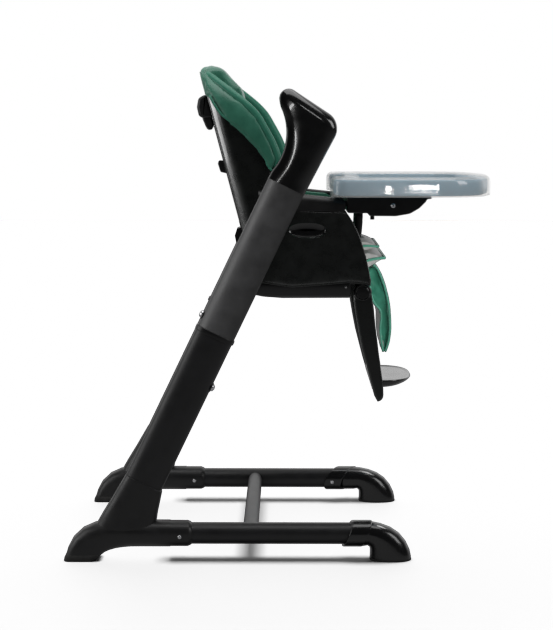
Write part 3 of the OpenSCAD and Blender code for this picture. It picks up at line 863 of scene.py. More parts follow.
def armrest():
    """A rolled armrest: its section is round at the top and square to the panel below."""
    rings = []
    stations = [(-50, 757.5, 792), (-35, 755.9, 791.6), (38, 749.2, 784.5), (110, 747, 777),
                (124, 746.6, 775.8),
                (131, 746.6, 774.2), (135.5, 748.5, 770.5), (137, 753, 765)]
    for x, low, high in stations:
        outer, inner = -SEAT_HALF - 2, -SEAT_HALF + 32
        ring = fillet([(outer, low, 2), (inner, low, 3), (inner, high, 5), (outer, high, 17)], 9)
        rings.append([(x, y, z) for y, z in ring])
    last = [(x + 0.6, -SEAT_HALF + 15 + (y + SEAT_HALF - 15) * 0.8, 759 + (z - 759) * 0.75)
            for x, y, z in rings[-1]]
    return loft(rings + [last])


pair("armrest_roll", armrest(), "arm_black", "frame", ["armrest_SIDE"], 60)


def side_pad():
    return plate(fillet([(8, 702, 6), (112, 702, 6), (120, 712, 8), (124, 742, 12), (115, 765, 12),
                         (102, 773, 10),
                         (40, 778.5, 20), (8, 780.5, 6)], 6), -157.6, -151, 3, 4)


def side_button():
    """A shallow dished oval button inside a raised rim."""
    face = moved(ellipse(BUTTON_LEN - 1.2, BUTTON_HIGH - 1.2, 64, 2.25), *BUTTON_MID)
    rings = []
    for d, y in ((0, 9), (0, 2.8), (0.3, 2.3), (0.9, 2.3), (1.6, 2.9), (3, 3.9), (5, 5.0), (8, 6.1),
                 (11, 6.7), (14, 7.0)):
        rings.append([(x, -SEAT_HALF + y, z) for x, z in inset(tidy(face), d)])
    return loft(rings)


pad = make("side_soft_pads", both(side_pad()), "green_cover")
place(pad, "frame", "side_pads")
pair("side_button_dish", side_button(), "gloss_black", "side_button_SIDE", ["side_button_SIDE"], 50)
screw_at = (139, 584)
panel_screw = turned([(0.01, 0), (2.4, -0.3), (3.0, -1.2), (3.0, -4), (0.01, -4)],
                     (screw_at[0], -SEAT_HALF - 0.6, screw_at[1]),
                     (0, -1, 0), 20)
put("panel_screws", both(panel_screw), "bright_metal", "frame")


def crotch_post():
    rings = []
    for x0, x1, z, half in ((161.5, 179.5, PAN_Z - 3, 21), (161.5, 178.5, 640, 21), (161.8, 178, 671, 20.5),
                            (161.5, 180.5, 700, 20.5), (162, 182.6, 725, 21.5), (162.5, 183, 737, 22),
                            (163.5, 182, 740.8, 21)):
        ring = fillet([(x0, -half, 6), (x1, -half, 8), (x1, half, 8), (x0, half, 6)], 5)
        rings.append([(x, y, z) for x, y in ring])
    return loft(rings)


put("crotch_post_bar", crotch_post(), "gloss_black", "frame", "crotch_post", angle=50)

# ---------- backrest ----------

RIDGE_Z = [632, 700, 800, 861, 871, 896, 923, 953, 978, 1005, 1027, 1046]
RIDGE_X = [-18, -4, 0, -9, -14, -24, -39, -56, -81, -116, -145, -166]
ARCH_Z = 955          # the sides are straight up to here
ARCH_HIGH = 100
ARCH_WIDE = 95
SHELL_WALL = 4.5


def ridge_x(z):
    return float(np.interp(z, RIDGE_Z, RIDGE_X))


def half_width(z, grow=0.0):
    """Half of the shell's width at height z: straight sides with an arched top."""
    if z <= ARCH_Z:
        return BACK_HALF + grow
    rise = (z - ARCH_Z) / (ARCH_HIGH + grow)
    return BACK_HALF - ARCH_WIDE + (ARCH_WIDE + grow) * math.sqrt(max(0.0, 1 - rise ** 2))


def shell_ring(z, wall, start=0.0):
    """A closed U at height z: round outside from edge to edge, and back along the inside.

    A negative start lies outside the shell."""
    edge = ridge_x(z) - 12
    half = half_width(z)
    depth = max(8.0, edge - rear_x(z))
    bulge = 3.0
    r = min(30.0, depth * 0.75)

    def walk(offset):
        w, rr = half - offset, max(2.0, r - offset)
        x0 = rear_x(z) + offset + bulge
        path = [(edge, -w), (max(x0 + rr, edge - 0.4 * (edge - x0 - rr)), -w), (x0 + rr, -w)]
        bend = np.radians([15, 30, 45, 60, 75, 90])
        path += [(x0 + rr - rr * math.sin(a), -w + rr - rr * math.cos(a)) for a in bend]
        flat = np.linspace(-(w - rr), 0, 7)[1:]
        path += [(x0 - bulge * math.cos(math.pi / 2 * y / (w - rr)), y) for y in flat]
        return path + [(x, -y) for x, y in path[-2::-1]]

    return [(x, y, z) for x, y in walk(start) + walk(wall)[::-1]]


def backrest_shell():
    levels = [633, 640, 670, 700, 740, 780, 820, 850, 880, 905, 925, 940, 955, 968, 980, 992, 1003, 1013,
              1023, 1032,
              1039, 1044]
    shell = loft([shell_ring(z, SHELL_WALL) for z in levels])
    ear = turned([(4.9, 0), (15, 0), (16, 0.8), (16, 4.2), (15, 5), (4.9, 5)],
                 (BACK_PIVOT.x, -BACK_HALF, BACK_PIVOT.z), (0, 1, 0))
    line = [(rear_x(z) - 2.2, z) for z in (700, 930)] + [(rear_x(z) + 3, z) for z in (930, 700)]
    ribs = [plate(line, y - 2, y + 2, 1, 2) for y in (-62, 62)]
    return join(shell, both(ear), *ribs)


put_even("backrest_bucket", backrest_shell(), "shell_black", "backrest", "backrest_shell")


def recline_housing():
    outline = fillet([(-186, 952, 10), (-190.5, 972, 14), (-187, 992, 12), (-174, 999, 10),
                      (rear_x(998) - 0.5, 998, 3),
                      (rear_x(948) - 0.5, 948, 0), (-177, 947.5, 4)], 8)
    return plate(outline, -38, 38, 11, 7, flat=7)


def recline_lever():
    outline = fillet([(-178.5, 968, 3), (-178.5, 946, 6), (-171.5, 929, 10), (-167, 921.5, 7),
                      (-159, 921, 7),
                      (-153.5, 931, 6), (-156.5, 944, 6), (rear_x(968) - 4, 968, 2)], 7)
    return plate(outline, -22, 22, 6, 6, flat=4)


put_even("recline_lever_housing", recline_housing(), "arm_black", "backrest", "recline_housing")
put_even("recline_pull", recline_lever(), "arm_black", "recline_lever", "recline_lever")


def back_band(y_half, z0, z1, lift, thick, n=26):
    """A flat band that follows the backrest's rear face."""
    rings = []
    for z in np.linspace(z0, z1, n):
        x = rear_x(z) - lift
        ring = fillet([(x, -y_half, 0.5), (x, y_half, 0.5), (x - thick, y_half, 0.5),
                       (x - thick, -y_half, 0.5)], 2)
        rings.append([(px, py, z) for px, py in ring])
    return loft(rings)


put("recline_band", back_band(11, 706, 946, 1.0, 2.0), "webbing", "backrest", "recline_strap")


def strap_guide():
    outline = fillet([(rear_x(852) - 0.4, 852, 0), (-142.5, 853, 3), (-144.5, 846, 4), (-138.5, 827, 4),
                      (rear_x(823) - 0.4, 823, 0)], 5)
    ear = plate(outline, -15.5, -11.6, 1.2, 3)
    bar = plate(fillet([(-141.5, 850, 1), (-144.2, 846, 1.5), (-140.5, 834, 1.5), (-138.9, 838, 1)], 3),
                -15, 15, 0.8, 2)
    return join(both(ear), bar)


put("strap_guide", strap_guide(), "satin_black", "backrest", "strap_hook")

# ---------- footrest ----------


def footrest_arm():
    """An arm that curves forwards and down from its pivot to a blunt tip."""
    outline = arc(FOOT_PIVOT.x, FOOT_PIVOT.z, 20, 19, 178, -8, 20)
    outline += [(200, 536), (203, 505), (207.5, 470), (212, 434), (217, 402), (221.5, 372)]
    outline += arc(213, 346, 9.5, 14, 10, -75, 8)
    outline += [(210.5, 330.5), (203.5, 343), (192.5, 381), (183, 417), (174, 452), (167, 488), (161, 523),
                (157, 550)]
    return plate(resample(outline, 7), -178, -158, 5.5, 6)


def pivot_cap():
    profile = [(0.01, 2.6), (12.8, 2.4), (14.2, 1.4), (15.2, 1.6), (16.4, 2.8), (17.6, 2.6), (18.5, 1.2),
               (18.5, -1), (0.01, -1)]
    return turned(profile, (FOOT_PIVOT.x, -178, FOOT_PIVOT.z), (0, -1, 0), 48)


def foot_plate():
    """A plate with a flat top, whose keel curves up to a thin front edge."""
    reach, half = 81.0, 118.0
    front = [(1, a) for a in np.linspace(1.56, 0.02, 40)] + [(-1, a) for a in np.linspace(0.02, 1.56, 40)]
    plan = [(211, -half), (211, half)]
    plan += [(211 + reach * math.cos(a) ** 0.74, half * math.sin(a) ** 0.74 * side) for side, a in front]
    plan = tidy(plan, 0.5)
    keel = lambda x: 0.6 + 14.4 * max(0.0, 1 - ((x - 211) / 86) ** 2.2)
    rings = []
    for d, share, lift in ((9, 0, -0.7), (6.5, 0, -0.3), (4.5, 0, 0.5), (2.5, 0, 0.9), (0.9, 0, 0.6),
                           (0.1, 0, -0.6), (0.1, 0.12, -0.8), (1.2, 0.45, -0.8), (4, 0.8, -0.8),
                           (9, 0.98, -0.8)):
        rings.append([(x, y, 368.2 + lift - share * keel(x)) for x, y in inset(plan, d)])
    bar = plate(fillet([(198, 367, 3), (214, 367, 2), (216, 353.5, 2), (206, 350.5, 5), (199, 356, 4)], 4),
                -157.6, 157.6, 2, 3)
    return join(loft(rings), bar)


pair("footrest_arm_moulding", footrest_arm(), "shell_black", "footrest", ["footrest_arm_SIDE"], 50)
put("footrest_pivot_caps", both(pivot_cap()), "gloss_black", "footrest", "footrest_caps", angle=30)
put_even("foot_board", foot_plate(), "gloss_black", "footrest", "foot_plate")

# ---------- tray ----------


def tray_plan(t=0.0):
    """The tray seen from above, drawn inwards by t."""
    front_r, horn_r, half = 120.0, 42.0, TRAY_HALF
    fore, back = 466.0, 104.0
    points = arc(fore - front_r - 12, -half + front_r, front_r - t, front_r - t, -90, -30, 10)
    points += arc(fore - 700, 0, 700 - t, 700 - t, -8, 8, 10)
    points += arc(fore - front_r - 12, half - front_r, front_r - t, front_r - t, 30, 90, 10)
    points += arc(back + horn_r, half - horn_r, horn_r - t, horn_r - t, 90, 205, 12)
    points += arc(-148, 0, 290 + t, 290 + t, 26, -26, 20)
    points += arc(back + horn_r, -half + horn_r, horn_r - t, horn_r - t, 155, 270, 12)
    return tidy(points)


def tray_rings(levels):
    return [[(x, y, z) for x, y in tray_plan(t)] for t, z in levels]


def tray_body():
    outer = [(34, 784.8), (31, 783), (22, 780.8), (14, 781.2), (9, 783.5), (6.8, 788), (6.4, 800),
             (7.0, 810), (8.6, 814.2),
             (11, 816), (25, 816), (28, 814.6), (30, 811), (31.5, 796), (34, 790.5), (39, 788.4)]
    return loft(tray_rings(outer))


def tray_lid():
    lid = [(3.2, 779.4), (2.0, 779), (0.6, 779.6), (0.05, 781.5), (0, 784), (0, 785.5), (0, 806.5),
           (0, 808), (1.4, 814.5),
           (4.6, 819.2), (9, 821.6), (14, 822), (27, 821.4), (31, 819.6), (33.6, 815.5), (35.2, 805),
           (37.4, 799.6), (43, 797.2)]
    under = [(43, 794.9), (36.2, 797.3), (33.6, 803), (31.8, 813.6), (29.6, 817.2), (26.4, 818.8),
             (14, 819.4), (10.2, 819),
             (6.4, 816.9), (4.2, 812.8), (3.0, 806), (2.8, 790), (2.8, 781.5)]
    top, low = tray_rings(lid), tray_rings(under)
    n = len(top[0])
    verts, faces = loft(top + low, cap=False)
    m = len(top)
    faces.append(tuple((m - 1) * n + i for i in range(n)))
    faces.append(tuple(m * n + i for i in range(n))[::-1])
    faces = [f for f in faces if not (len(f) == 4 and {v // n for v in f} == {m - 1, m})]
    last = m + len(low) - 1
    faces += [(last * n + i, last * n + (i + 1) % n, (i + 1) % n, i) for i in range(n)]
    return verts, faces


put_even("tray_body", tray_body(), "tray_body", "tray", "main_tray", angle=60)
put_even("tray_lid", tray_lid(), "tray_clear", "tray_cover", "tray_cover", angle=60)


def tray_carrier():
    outline = fillet([(140, 777.4, 2), (140, 743.5, 6), (185, 743.2, 3), (190, 737.2, 4), (246, 736.8, 10),
                      (277, 742, 30), (297, 754, 24), (311, 768, 8), (316, 777.4, 0)], 7)
    body = plate(outline, -187, 187, 7, 6, flat=2.5)
    lip = slab(fillet([(180, -168, 6), (327, -168, 30), (327, 168, 30), (180, 168, 6)], 8), 772.6, 776.4,
               1.2, 3)
    seat = slab(fillet([(186, -160, 6), (312, -160, 20), (312, 160, 20), (186, 160, 6)], 6), 776, 784.6, 1,
                2)
    return join(body, lip, seat)


put_even("tray_carrier_shell", tray_carrier(), "satin_black", "tray", "tray_carrier")
carrier_screw = turned([(0.01, -0.9), (1.6, -0.9), (2.2, 0), (3.8, -0.3), (4.9, -1.4), (5.1, -3),
                        (0.01, -3)],
                       (240, -189.2, 760), (0, -1, 0), 28)
put("carrier_screw_heads", both(carrier_screw), "bright_metal", "tray", "carrier_screws")

# ---------- soft pieces ----------

CLOTH_STIFF = 12.0
CLOTH_FRAMES = 20


def remesh(obj, voxel):
    mod = obj.modifiers.new("even", "REMESH")
    mod.mode = "VOXEL"
    mod.voxel_size = voxel * MM


def smooth(obj, rounds):
    mod = obj.modifiers.new("smooth", "SMOOTH")
    mod.factor = 0.5
    mod.iterations = rounds


def from_node(name, title, voxel):
    """A copy of a CAD soft solid, remeshed evenly and smoothed."""
    obj = bpy.data.objects.new(title, nodes[name].data.copy())
    scene.collection.objects.link(obj)
    remesh(obj, voxel)
    smooth(obj, 4)
    return applied(obj)


def puff(obj, pressure, cap, freedom=None):
    """Inflates the piece as sewn fabric, and lets no point move further than cap or its freedom allows."""
    start = np.array([v.co for v in obj.data.vertices])
    mod = obj.modifiers.new("cloth", "CLOTH")
    cloth = mod.settings
    cloth.quality = 5
    cloth.mass = 0.3
    cloth.tension_stiffness = CLOTH_STIFF
    cloth.compression_stiffness = CLOTH_STIFF
    cloth.shear_stiffness = CLOTH_STIFF / 2
    cloth.bending_stiffness = 0.8
    cloth.shrink_min = 0.0
    cloth.use_pressure = True
    cloth.uniform_pressure_force = pressure
    cloth.effector_weights.gravity = 0
    mod.collision_settings.use_collision = False
    mod.collision_settings.use_self_collision = False
    for f in range(1, CLOTH_FRAMES + 1):
        scene.frame_set(f)
    graph = bpy.context.evaluated_depsgraph_get()
    swelled = bpy.data.meshes.new_from_object(obj.evaluated_get(graph))
    end = np.array([v.co for v in swelled.vertices])
    move = end - start
    far = np.linalg.norm(move, axis=1)
    limit = cap * MM
    move *= (limit * np.tanh(far / limit) / np.maximum(far, 1e-9))[:, None]
    if freedom is not None:
        move *= freedom(start)[:, None]
    obj.modifiers.clear()
    obj.data.vertices.foreach_set("co", (start + move).ravel())
    obj.data.update()
    scene.frame_set(1)
    return obj


def soft(obj, look, body, *stands_for, fill=0.6):
    """A soft piece, smoothed and refined, riding its body."""
    smooth(obj, 2)
    mod = obj.modifiers.new("fine", "SUBSURF")
    mod.levels = mod.render_levels = 1
    applied(obj)
    finish_surface(obj, look, 180)
    place(obj, body, *stands_for)
    return obj


def ridge_point(z, side, inward=0.0):
    """A point of the backrest's front edge at height z, and the direction out of the shell there."""
    up = min(1.0, max(0.0, (z - ARCH_Z) / ARCH_HIGH))
    half = half_width(min(z, ARCH_Z + ARCH_HIGH - 0.1))
    out = Vector((0, side * math.sqrt(1 - up * up), up))
    return Vector((ridge_x(z) - inward, side * half, z)), out


def sweep(path, wide, thick, n=16):
    """A soft roll along a path of (point, outward, taper); wide lies across the outward direction."""
    rings = []
    for i, (p, out, taper) in enumerate(path):
        ahead = (path[min(i + 1, len(path) - 1)][0] - path[max(i - 1, 0)][0]).normalized()
        out = (out - ahead * out.dot(ahead)).normalized()
        across = ahead.cross(out)
        turn = round_turn(n)
        rings.append([p + across * (wide * taper * math.cos(a)) + out * (thick * taper * math.sin(a))
                      for a in turn])
    return loft(rings)


def smooth_path(points, step=4.0):
    """Evenly spaced points on a smooth line through the given ones."""
    pts = [Vector(p) for p in points]
    dense = []
    for i in range(len(pts) - 1):
        p0, p1, p2, p3 = pts[max(i - 1, 0)], pts[i], pts[i + 1], pts[min(i + 2, len(pts) - 1)]
        n = max(2, int((p2 - p1).length / step))
        for k in range(n):
            t = k / n
            dense.append(0.5 * ((2 * p1) + (p2 - p0) * t + (2 * p0 - 5 * p1 + 4 * p2 - p3) * t * t
                                + (3 * p1 - p0 - 3 * p2 + p3) * t ** 3))
    return dense + [pts[-1]]


LINING_BACK = 9.5     # least gaps from the shell's outer faces to the lining
LINING_SIDE = 6.5
LINING_R = 33.0
BAND = [(-21, 834), (-31, 847), (-36, 862), (-56, 889), (-81, 916), (-108, 938), (-130, 955), (-145, 975),
        (-156, 995)]


def band_low(x):
    """Height of the cover's lower edge on the shell's side."""
    return float(np.interp(-x, [-p[0] for p in BAND], [p[1] for p in BAND]))


def tuck_in(obj):
    """Keeps the lining inside the shell's rounded rear corners."""
    for v in obj.data.vertices:
        x, y, z = v.co.x / MM, abs(v.co.y) / MM, v.co.z / MM + DROP.z
        low = band_low(x)
        if z > low - 3 or z > 1000:
            continue
        half, rear = half_width(z), rear_x(z) + LINING_BACK
        if x < rear:
            v.co.x = rear * MM
            x = rear
        cx, cy = rear_x(z) + 5 + LINING_R, half - LINING_R
        room = LINING_R - 7
        if x < cx and y > cy:
            d = Vector((x - cx, y - cy))
            if d.length > room:
                d *= room / d.length
                v.co.x, v.co.y = (cx + d.x) * MM, math.copysign(cy + d.y, v.co.y) * MM
        elif y > half - LINING_SIDE and z < low - 8:
            v.co.y = math.copysign(half - LINING_SIDE, v.co.y) * MM
    obj.data.update()


cover = puff(from_node("backrest_cover", "backrest_soft_cover", 4.5), 3.0, 4)
tuck_in(cover)
soft(cover, "green_cover", "backrest", "backrest_cover", fill=0.5)


def edge_roll():
    """The rolled edge of the cover, over the whole rim of the backrest."""
    near = []
    for z in [836, 845, 853, 861, 871, 884, 896, 910, 923, 938, 953, 966, 978, 992, 1005, 1016, 1027, 1036]:
        p, out = ridge_point(z, -1, -2)
        if z < 866:
            p.x -= (866 - z) * 0.42
        near.append((p, out, 0.55 + 0.45 * min(1, (z - 836) / 30)))
    top = [((-172, -88, 1045), (0, -0.45, 0.9)), ((-170, -66, 1051), (0, -0.2, 1)),
           ((-168, -35, 1053.5), (0, 0, 1)), ((-167.5, 0, 1054), (0, 0, 1))]
    path = near + [(Vector(p), Vector(out), 1) for p, out in top]
    mirror = lambda v: Vector((v.x, -v.y, v.z))
    path += [(mirror(p) + Vector((11 * t, 0, 3)), mirror(out), t * 1.3) for p, out, t in path[-2::-1]]
    share = np.linspace(0, len(path) - 1, 160)
    rows = np.array([list(p) + list(o) + [t] for p, o, t in path])
    grid = [np.interp(share, range(len(path)), rows[:, k]) for k in range(7)]
    for k in range(3):
        grid[k] = np.convolve(np.pad(grid[k], 3, mode="edge"), np.ones(7) / 7, "valid")
    return sweep([(Vector(r[:3]), Vector(r[3:6]), r[6]) for r in zip(*grid)], 9, 8)


def edge_welts():
    """The welt along the lower edge of the cover's side bands."""
    parts = []
    for side in (-1, 1):
        welt = [Vector((x, side * (half_width(z) + 6.4), z)) for x, z in BAND]
        parts.append(tube(smooth_path(welt, 4), 2.6, 8))
    return join(*parts)


def back_flap():
    """The part of the cover that is pulled over the shell's top and down its back."""
    rings = []
    for z in (997.5, 998.5, 1004, 1012, 1020, 1028, 1036, 1043, 1048):
        lift = 3.4 if z > 998 else 1.2
        outer, inner = shell_ring(z, SHELL_WALL, -lift), shell_ring(z, SHELL_WALL, -0.4)
        n = len(outer) // 2
        rings.append(outer[:n] + inner[:n][::-1])
    return loft(rings)


# The roll and the welts take the lighter rim look: a painted highlight on the green.
roll = make("cover_edge_roll", edge_roll(), "cover_rim_lit", angle=180)
place(roll, "backrest")
put("cover_welts", edge_welts(), "cover_rim_lit", "backrest", angle=180)
put("cover_back_flap", back_flap(), "green_cover", "backrest", angle=60)


def pad_ring(a, b, half, crown, pinch, n=9):
    """A cushion's section: crowned faces from a to b, and sides that pull in between their edges."""
    a, b = Vector(a), Vector(b)
    thick = (b - a).length
    u = (b - a) / thick
    ring = []
    for k in range(n):
        y = -half + 2 * half * k / (n - 1)
        edge = 1 - (abs(y) / half) ** 4
        q = a - u * crown * edge
        ring.append((q.x, y * (1 - 1.5 / half), q.y))
    for share in (0.25, 0.5, 0.75):
        q = a + u * thick * share
        ring.append((q.x, half - pinch * 4 * share * (1 - share), q.y))
    for k in range(n):
        y = half - 2 * half * k / (n - 1)
        edge = 1 - (abs(y) / half) ** 4
        q = b + u * crown * edge
        ring.append((q.x, y * (1 - 1.5 / half), q.y))
    for share in (0.75, 0.5, 0.25):
        q = a + u * thick * share
        ring.append((q.x, -half + pinch * 4 * share * (1 - share), q.y))
    return ring


def even(part, title, voxel):
    """The mesh remeshed to even small faces, ready for the cloth."""
    obj = make(title, part, "green_cover")
    remesh(obj, voxel)
    return applied(obj)


def two_tone(obj, second, test):
    """Gives the faces that pass the test a second material."""
    obj.data.materials.append(LOOKS[second])
    for f in obj.data.polygons:
        c = f.center / MM + DROP
        if test(c, f.normal):
            f.material_index = 1


FLAP_FRONT = [(201, 626), (210, 618), (217, 604), (226, 579), (233, 553), (238, 527), (241, 500),
              (242.5, 474), (240, 447), (234, 424)]
FLAP_REAR = [(190, 621), (191, 604), (194, 584), (197.5, 560), (205, 541), (218, 525), (222, 505),
             (221, 478), (224, 450), (229, 424)]
FLAP_HALF = [119, 120, 120, 119, 117, 108, 84, 68, 60, 46]
PIPING_IN = 3.5       # the piping sinks this far into the flap's sides
PIPING_R = 2.4


def calf_flap():
    rings = []
    share = np.linspace(0, len(FLAP_FRONT) - 1, 34)
    pick = lambda rows, k: np.interp(share, range(len(rows)), [r[k] for r in rows])
    fx, fz, bx, bz = pick(FLAP_FRONT, 0), pick(FLAP_FRONT, 1), pick(FLAP_REAR, 0), pick(FLAP_REAR, 1)
    half = np.interp(share, range(len(FLAP_HALF)), FLAP_HALF)
    for i in range(len(share)):
        rings.append(pad_ring((fx[i], fz[i]), (bx[i], bz[i]), half[i], 1.0, 9.0))
    return loft(rings)


def flap_piping():
    parts = []
    for side in (-1, 1):
        for rows in (FLAP_FRONT, FLAP_REAR):
            pts = [Vector((x, side * (h - PIPING_IN), z)) for (x, z), h in zip(rows, FLAP_HALF)]
            parts.append(tube(smooth_path(pts, 4), PIPING_R, 8))
    for rows in (FLAP_FRONT, FLAP_REAR):
        (x, z), h = rows[-1], FLAP_HALF[-1] - PIPING_IN
        pts = [Vector((x, y, z + 1.5)) for y in np.linspace(-h, h, 15)]
        parts.append(tube(pts, PIPING_R, 8))
    return join(*parts)


flap = puff(even(calf_flap(), "calf_soft_flap", 4.0), 2.5, 4)
# The flap takes the lighter rim look: a painted highlight on its green.
soft(flap, "cover_rim_lit", "frame", "calf_flap", fill=0.5)
two_tone(flap, "grey_pad", lambda c, n: n.x < (-0.72 if c.z > 515 else -0.15) and c.x < 230)
put("calf_flap_piping", flap_piping(), "green_piping", "frame", angle=180)


def cushion_body(stations):
    """A cushion from (x, low, high, half) stations."""
    return loft([pad_ring((x, low), (x, high), half, 1.5, 3.0) for x, low, high, half in stations])


CUSHION = [(-34, 608, 636, 146), (-26, 604.5, 640, 149), (40, 604, 640, 149.5), (140, 604, 641, 149.5),
           (168, 609, 649, 149),
           (186, 620, 655, 147), (200, 629, 653, 144), (212, 636, 649, 140), (220, 640, 646, 137),
           (224, 641.5, 644.5, 135)]
INSERT = [(-32, 646, 664, 120), (-26, 643, 667.5, 124), (60, 642.6, 668, 124.5), (140, 643, 670, 124.5),
          (166, 652, 678, 124),
          (182, 658, 679, 123), (196, 661, 675, 120), (206, 663.5, 670, 117), (211, 665, 668, 115)]


LIP_X = 160           # the front lip starts here
LIP_BLEND = 50


def rim_piping(stations, from_x, radius):
    """Piping round the front edge of a cushion, at half its height."""
    rows = [r for r in stations if r[0] >= from_x]
    near = [Vector((x, -half + 1.0, (low + high) / 2)) for x, low, high, half in rows]
    x, low, high, half = stations[-1]
    front = [Vector((x + 1.5, y, (low + high) / 2)) for y in np.linspace(-half + 6, half - 6, 9)]
    far = [Vector((p.x, -p.y, p.z)) for p in near[::-1]]
    return tube(smooth_path(near + front + far, 5), radius, 8)


def post_slot(obj):
    """Opens the cushion round the crotch post."""
    cut(obj, slab([(159.6, -24.6), (182.6, -24.6), (182.6, 24.6), (159.6, 24.6)], 590, 690, 0.5, 1))


def behind_lip(points):
    """1 well behind the front lip, falling to 0 before it: the piping holds the lip in place."""
    return np.clip((LIP_X * MM - points[:, 0]) / (LIP_BLEND * MM), 0, 1)


for stations, title, node in ((CUSHION, "seat_soft_cushion", "seat_cushion"),
                              (INSERT, "seat_soft_insert", "seat_insert")):
    cushion = puff(even(cushion_body(stations), title, 4.5), 4.0, 5, freedom=behind_lip)
    post_slot(cushion)
    soft(cushion, "grey_pad", "frame", node)
seat_piping = join(rim_piping(CUSHION, 120, 3.0), rim_piping(INSERT, 120, 2.6))
put("seat_piping", seat_piping, "green_piping", "frame", angle=180)

# ---------- harness ----------


def shoulder_webbing():
    rings = []
    for z in np.linspace(700, 940, 30):
        x = rear_x(z) + 35
        ring = fillet([(x, -62, 0.6), (x, -37, 0.6), (x + 2.2, -37, 0.6), (x + 2.2, -62, 0.6)], 2)
        rings.append([(px, py, z) for px, py in ring])
    return loft(rings)


put("shoulder_webbing", both(shoulder_webbing()), "webbing", "backrest", "shoulder_straps")


def lap_webbing():
    band = slab(fillet([(20, -112, 1), (45, -112, 1), (45, -28, 1), (20, -28, 1)], 2), 669.2, 671.4, 0.8, 2)
    crotch = slab(fillet([(60, -12.5, 1), (132, -12.5, 1), (132, 12.5, 1), (60, 12.5, 1)], 2), 669.2, 671.4,
                  0.8, 2)
    return join(both(band), crotch)


def buckle():
    plan = fillet([(8, -24, 8), (58, -24, 8), (64, 0, 14), (58, 24, 8), (8, 24, 8), (4, 0, 14)], 8)
    body = slab(plan, 669, 682, 4.5, 5)
    press = slab(fillet([(24, -9, 8), (42, -9, 8), (42, 9, 8), (24, 9, 8)], 6), 680, 683, 1.4, 3)
    return join(body, press)


put("lap_webbing", lap_webbing(), "webbing", "frame", "lap_straps")
put_even("buckle_body", buckle(), "satin_black", "frame", "harness_buckle")

# ---------- stage, light and camera ----------


def stage():
    """A floor that shows nothing but the shadows on it. It is dark, so that it doesn't light the chair."""
    mesh = bpy.data.meshes.new("floor")
    size = 12.0
    mesh.from_pydata([(-size, -size, 0), (size, -size, 0), (size, size, 0), (-size, size, 0)], [],
                     [(0, 1, 2, 3)])
    floor = bpy.data.objects.new("floor", mesh)
    scene.collection.objects.link(floor)
    floor.data.materials.append(material("dark_floor", (0.05, 0.05, 0.05), 0.8))
    floor.is_shadow_catcher = True


def area_light(name, place_at, target, size, power):
    data = bpy.data.lights.new(name, "AREA")
    data.shape = "RECTANGLE"
    data.size, data.size_y = size
    data.energy = power
    light = bpy.data.objects.new(name, data)
    light.location = place_at
    light.rotation_euler = (Vector(target) - Vector(place_at)).to_track_quat("-Z", "Y").to_euler()
    scene.collection.objects.link(light)
    return light


def world(dim, bright):
    """A white backdrop for the camera, and for all else a studio that is dim on the near side."""
    w = bpy.data.worlds.new("studio")
    scene.world = w
    w.use_nodes = True
    tree = w.node_tree
    link = tree.links.new
    back = tree.nodes["Background"]
    back.inputs["Color"].default_value = (1, 1, 1, 1)
    place_of = tree.nodes.new("ShaderNodeTexCoord")
    split = tree.nodes.new("ShaderNodeSeparateXYZ")
    link(place_of.outputs["Generated"], split.inputs["Vector"])
    ramp = tree.nodes.new("ShaderNodeMapRange")
    ramp.interpolation_type = "SMOOTHSTEP"
    for key, number in (("From Min", 0.0), ("From Max", 0.7), ("To Min", dim), ("To Max", bright)):
        ramp.inputs[key].default_value = number
    link(split.outputs["Y"], ramp.inputs["Value"])
    link(ramp.outputs["Result"], back.inputs["Strength"])
    white = tree.nodes.new("ShaderNodeBackground")
    white.inputs["Color"].default_value = (1, 1, 1, 1)
    path = tree.nodes.new("ShaderNodeLightPath")
    mix = tree.nodes.new("ShaderNodeMixShader")
    link(path.outputs["Is Camera Ray"], mix.inputs["Fac"])
    link(back.outputs["Background"], mix.inputs[1])
    link(white.outputs["Background"], mix.inputs[2])
    link(mix.outputs["Shader"], tree.nodes["World Output"].inputs["Surface"])


def camera():
    data = bpy.data.cameras.new("camera")
    data.lens = 94.70
    data.sensor_width = 36
    cam = bpy.data.objects.new("camera", data)
    cam.location = (0.014, -3.7592, 0.9304)
    cam.rotation_euler = (math.radians(83.388), 0, math.radians(0.404))
    scene.collection.objects.link(cam)
    scene.camera = cam


def card(name, place_at, target, size, glow, *names, in_gloss=True, roll=0.0):
    """A light held for a few objects alone; glow is its brightness in watts per square metre."""
    light = area_light(name, place_at, target, size, glow * size[0] * size[1])
    light.visible_camera = False
    light.visible_glossy = in_gloss
    light.rotation_euler.rotate_axis("Z", math.radians(roll))
    group = bpy.data.collections.new(name + "_receives")
    for each in names:
        group.objects.link(bpy.data.objects[each])
    light.light_linking.receiver_collection = group
    return light


def low(obj):
    """True for a mesh that stays within a hand's breadth of the floor."""
    if obj.type != "MESH" or obj.name == "floor":
        return False
    return max((obj.matrix_world @ Vector(corner)).z for corner in obj.bound_box) < 0.18


def shadows_from(light, *names):
    """Only these objects throw a shadow in the light."""
    group = bpy.data.collections.new(light.name + "_shadows")
    for name in names:
        group.objects.link(bpy.data.objects[name])
    light.light_linking.blocker_collection = group


def never_on(light, *names):
    """The light leaves these objects out."""
    group = bpy.data.collections.new(light.name + "_spares")
    for name in names:
        group.objects.link(bpy.data.objects[name])
    light.light_linking.receiver_collection = group
    for member in group.collection_objects:
        member.light_linking.link_state = "EXCLUDE"


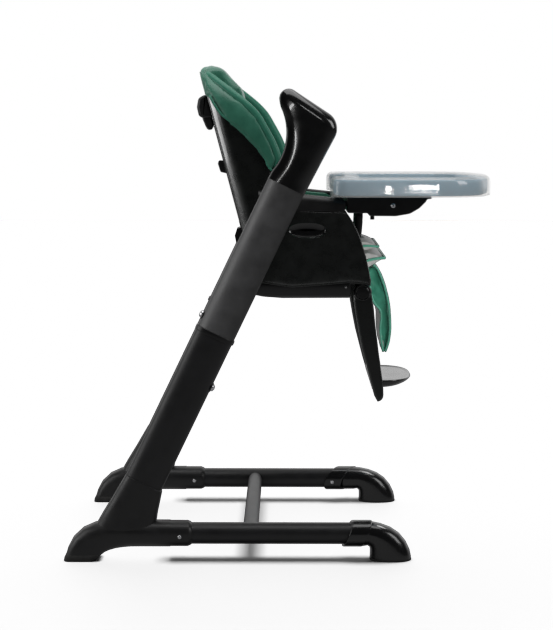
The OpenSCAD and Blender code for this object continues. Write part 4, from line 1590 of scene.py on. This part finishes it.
stage()
world(0.02, 0.8)
top = area_light("top_softbox", (0.15, -0.3, 2.5), (0.05, 0, 0.5), (2.0, 1.6), 24)
left = area_light("left_softbox", (-2.2, -0.9, 1.2), (0, 0, 0.6), (1.7, 1.6), 20)
right = area_light("right_softbox", (2.2, -1.3, 1.6), (0.1, 0, 0.7), (0.8, 1.4), 14)
heads = ("leg_head_right", "leg_head_left")
elbows = ("front_foot_moulding_right", "front_foot_moulding_left")
arms = ("footrest_arm_moulding_right", "footrest_arm_moulding_left")
hanging = ("calf_soft_flap", "calf_flap_piping", "seat_soft_cushion", "seat_soft_insert", "seat_piping")
low_parts = [obj.name for obj in scene.objects if low(obj)]
never_on(top, "floor")
never_on(left, "floor", *heads)
never_on(right, "floor")
wash = card("floor_wash", (0, 0.6, 4.2), (0, 0, 0), (3.0, 2.4), 160, "floor", in_gloss=False)
shadows_from(wash, *low_parts)
card("neck_card", (-0.9, -2.6, 1.03), (0, 0, 0.85), (0.7, 0.11), 46, *heads, roll=26)
card("crest_card", (0.62, -2.4, 1.62), (0.04, -0.19, 0.94), (0.7, 0.16), 22, *heads, roll=-35)
card("elbow_card", (0.95, 0.45, 1.86), (0.24, -0.19, 0.06), (0.7, 0.4), 26, *elbows)
card("shell_card", (-2.0, 0.15, 1.0), (-0.1, 0, 0.8), (1.6, 1.4), 22, "backrest_bucket", *arms)
card("leg_card", (-1.4, -1.66, 1.1), (-0.1, -0.2, 0.7), (0.6, 1.2), 22, "upper_leg_tube_right",
     "upper_leg_tube_left")
card("panel_card", (0.1, -2.5, 1.65), (0.1, -0.2, 0.6), (1.2, 0.3), 14, "seat_side_panel_right",
     "seat_side_panel_left")
card("hanging_fill", (1.5, -2.2, 0.4), (0.2, 0, 0.5), (1.0, 1.0), 42, *hanging, in_gloss=False)
card("tray_fill", (0.6, -3.0, 1.2), (0.25, 0, 0.8), (1.2, 0.8), 19, "tray_body", "tray_lid", in_gloss=False)
card("tray_card_small", (0.375, -2.7, 0.688), (0.28, 0, 0.8), (0.022, 0.028), 250, "tray_lid")
card("tray_card_wide", (0.523, -2.7, 0.709), (0.35, 0, 0.8), (0.130, 0.036), 150, "tray_lid")
camera()
scene.view_settings.view_transform = "Standard"
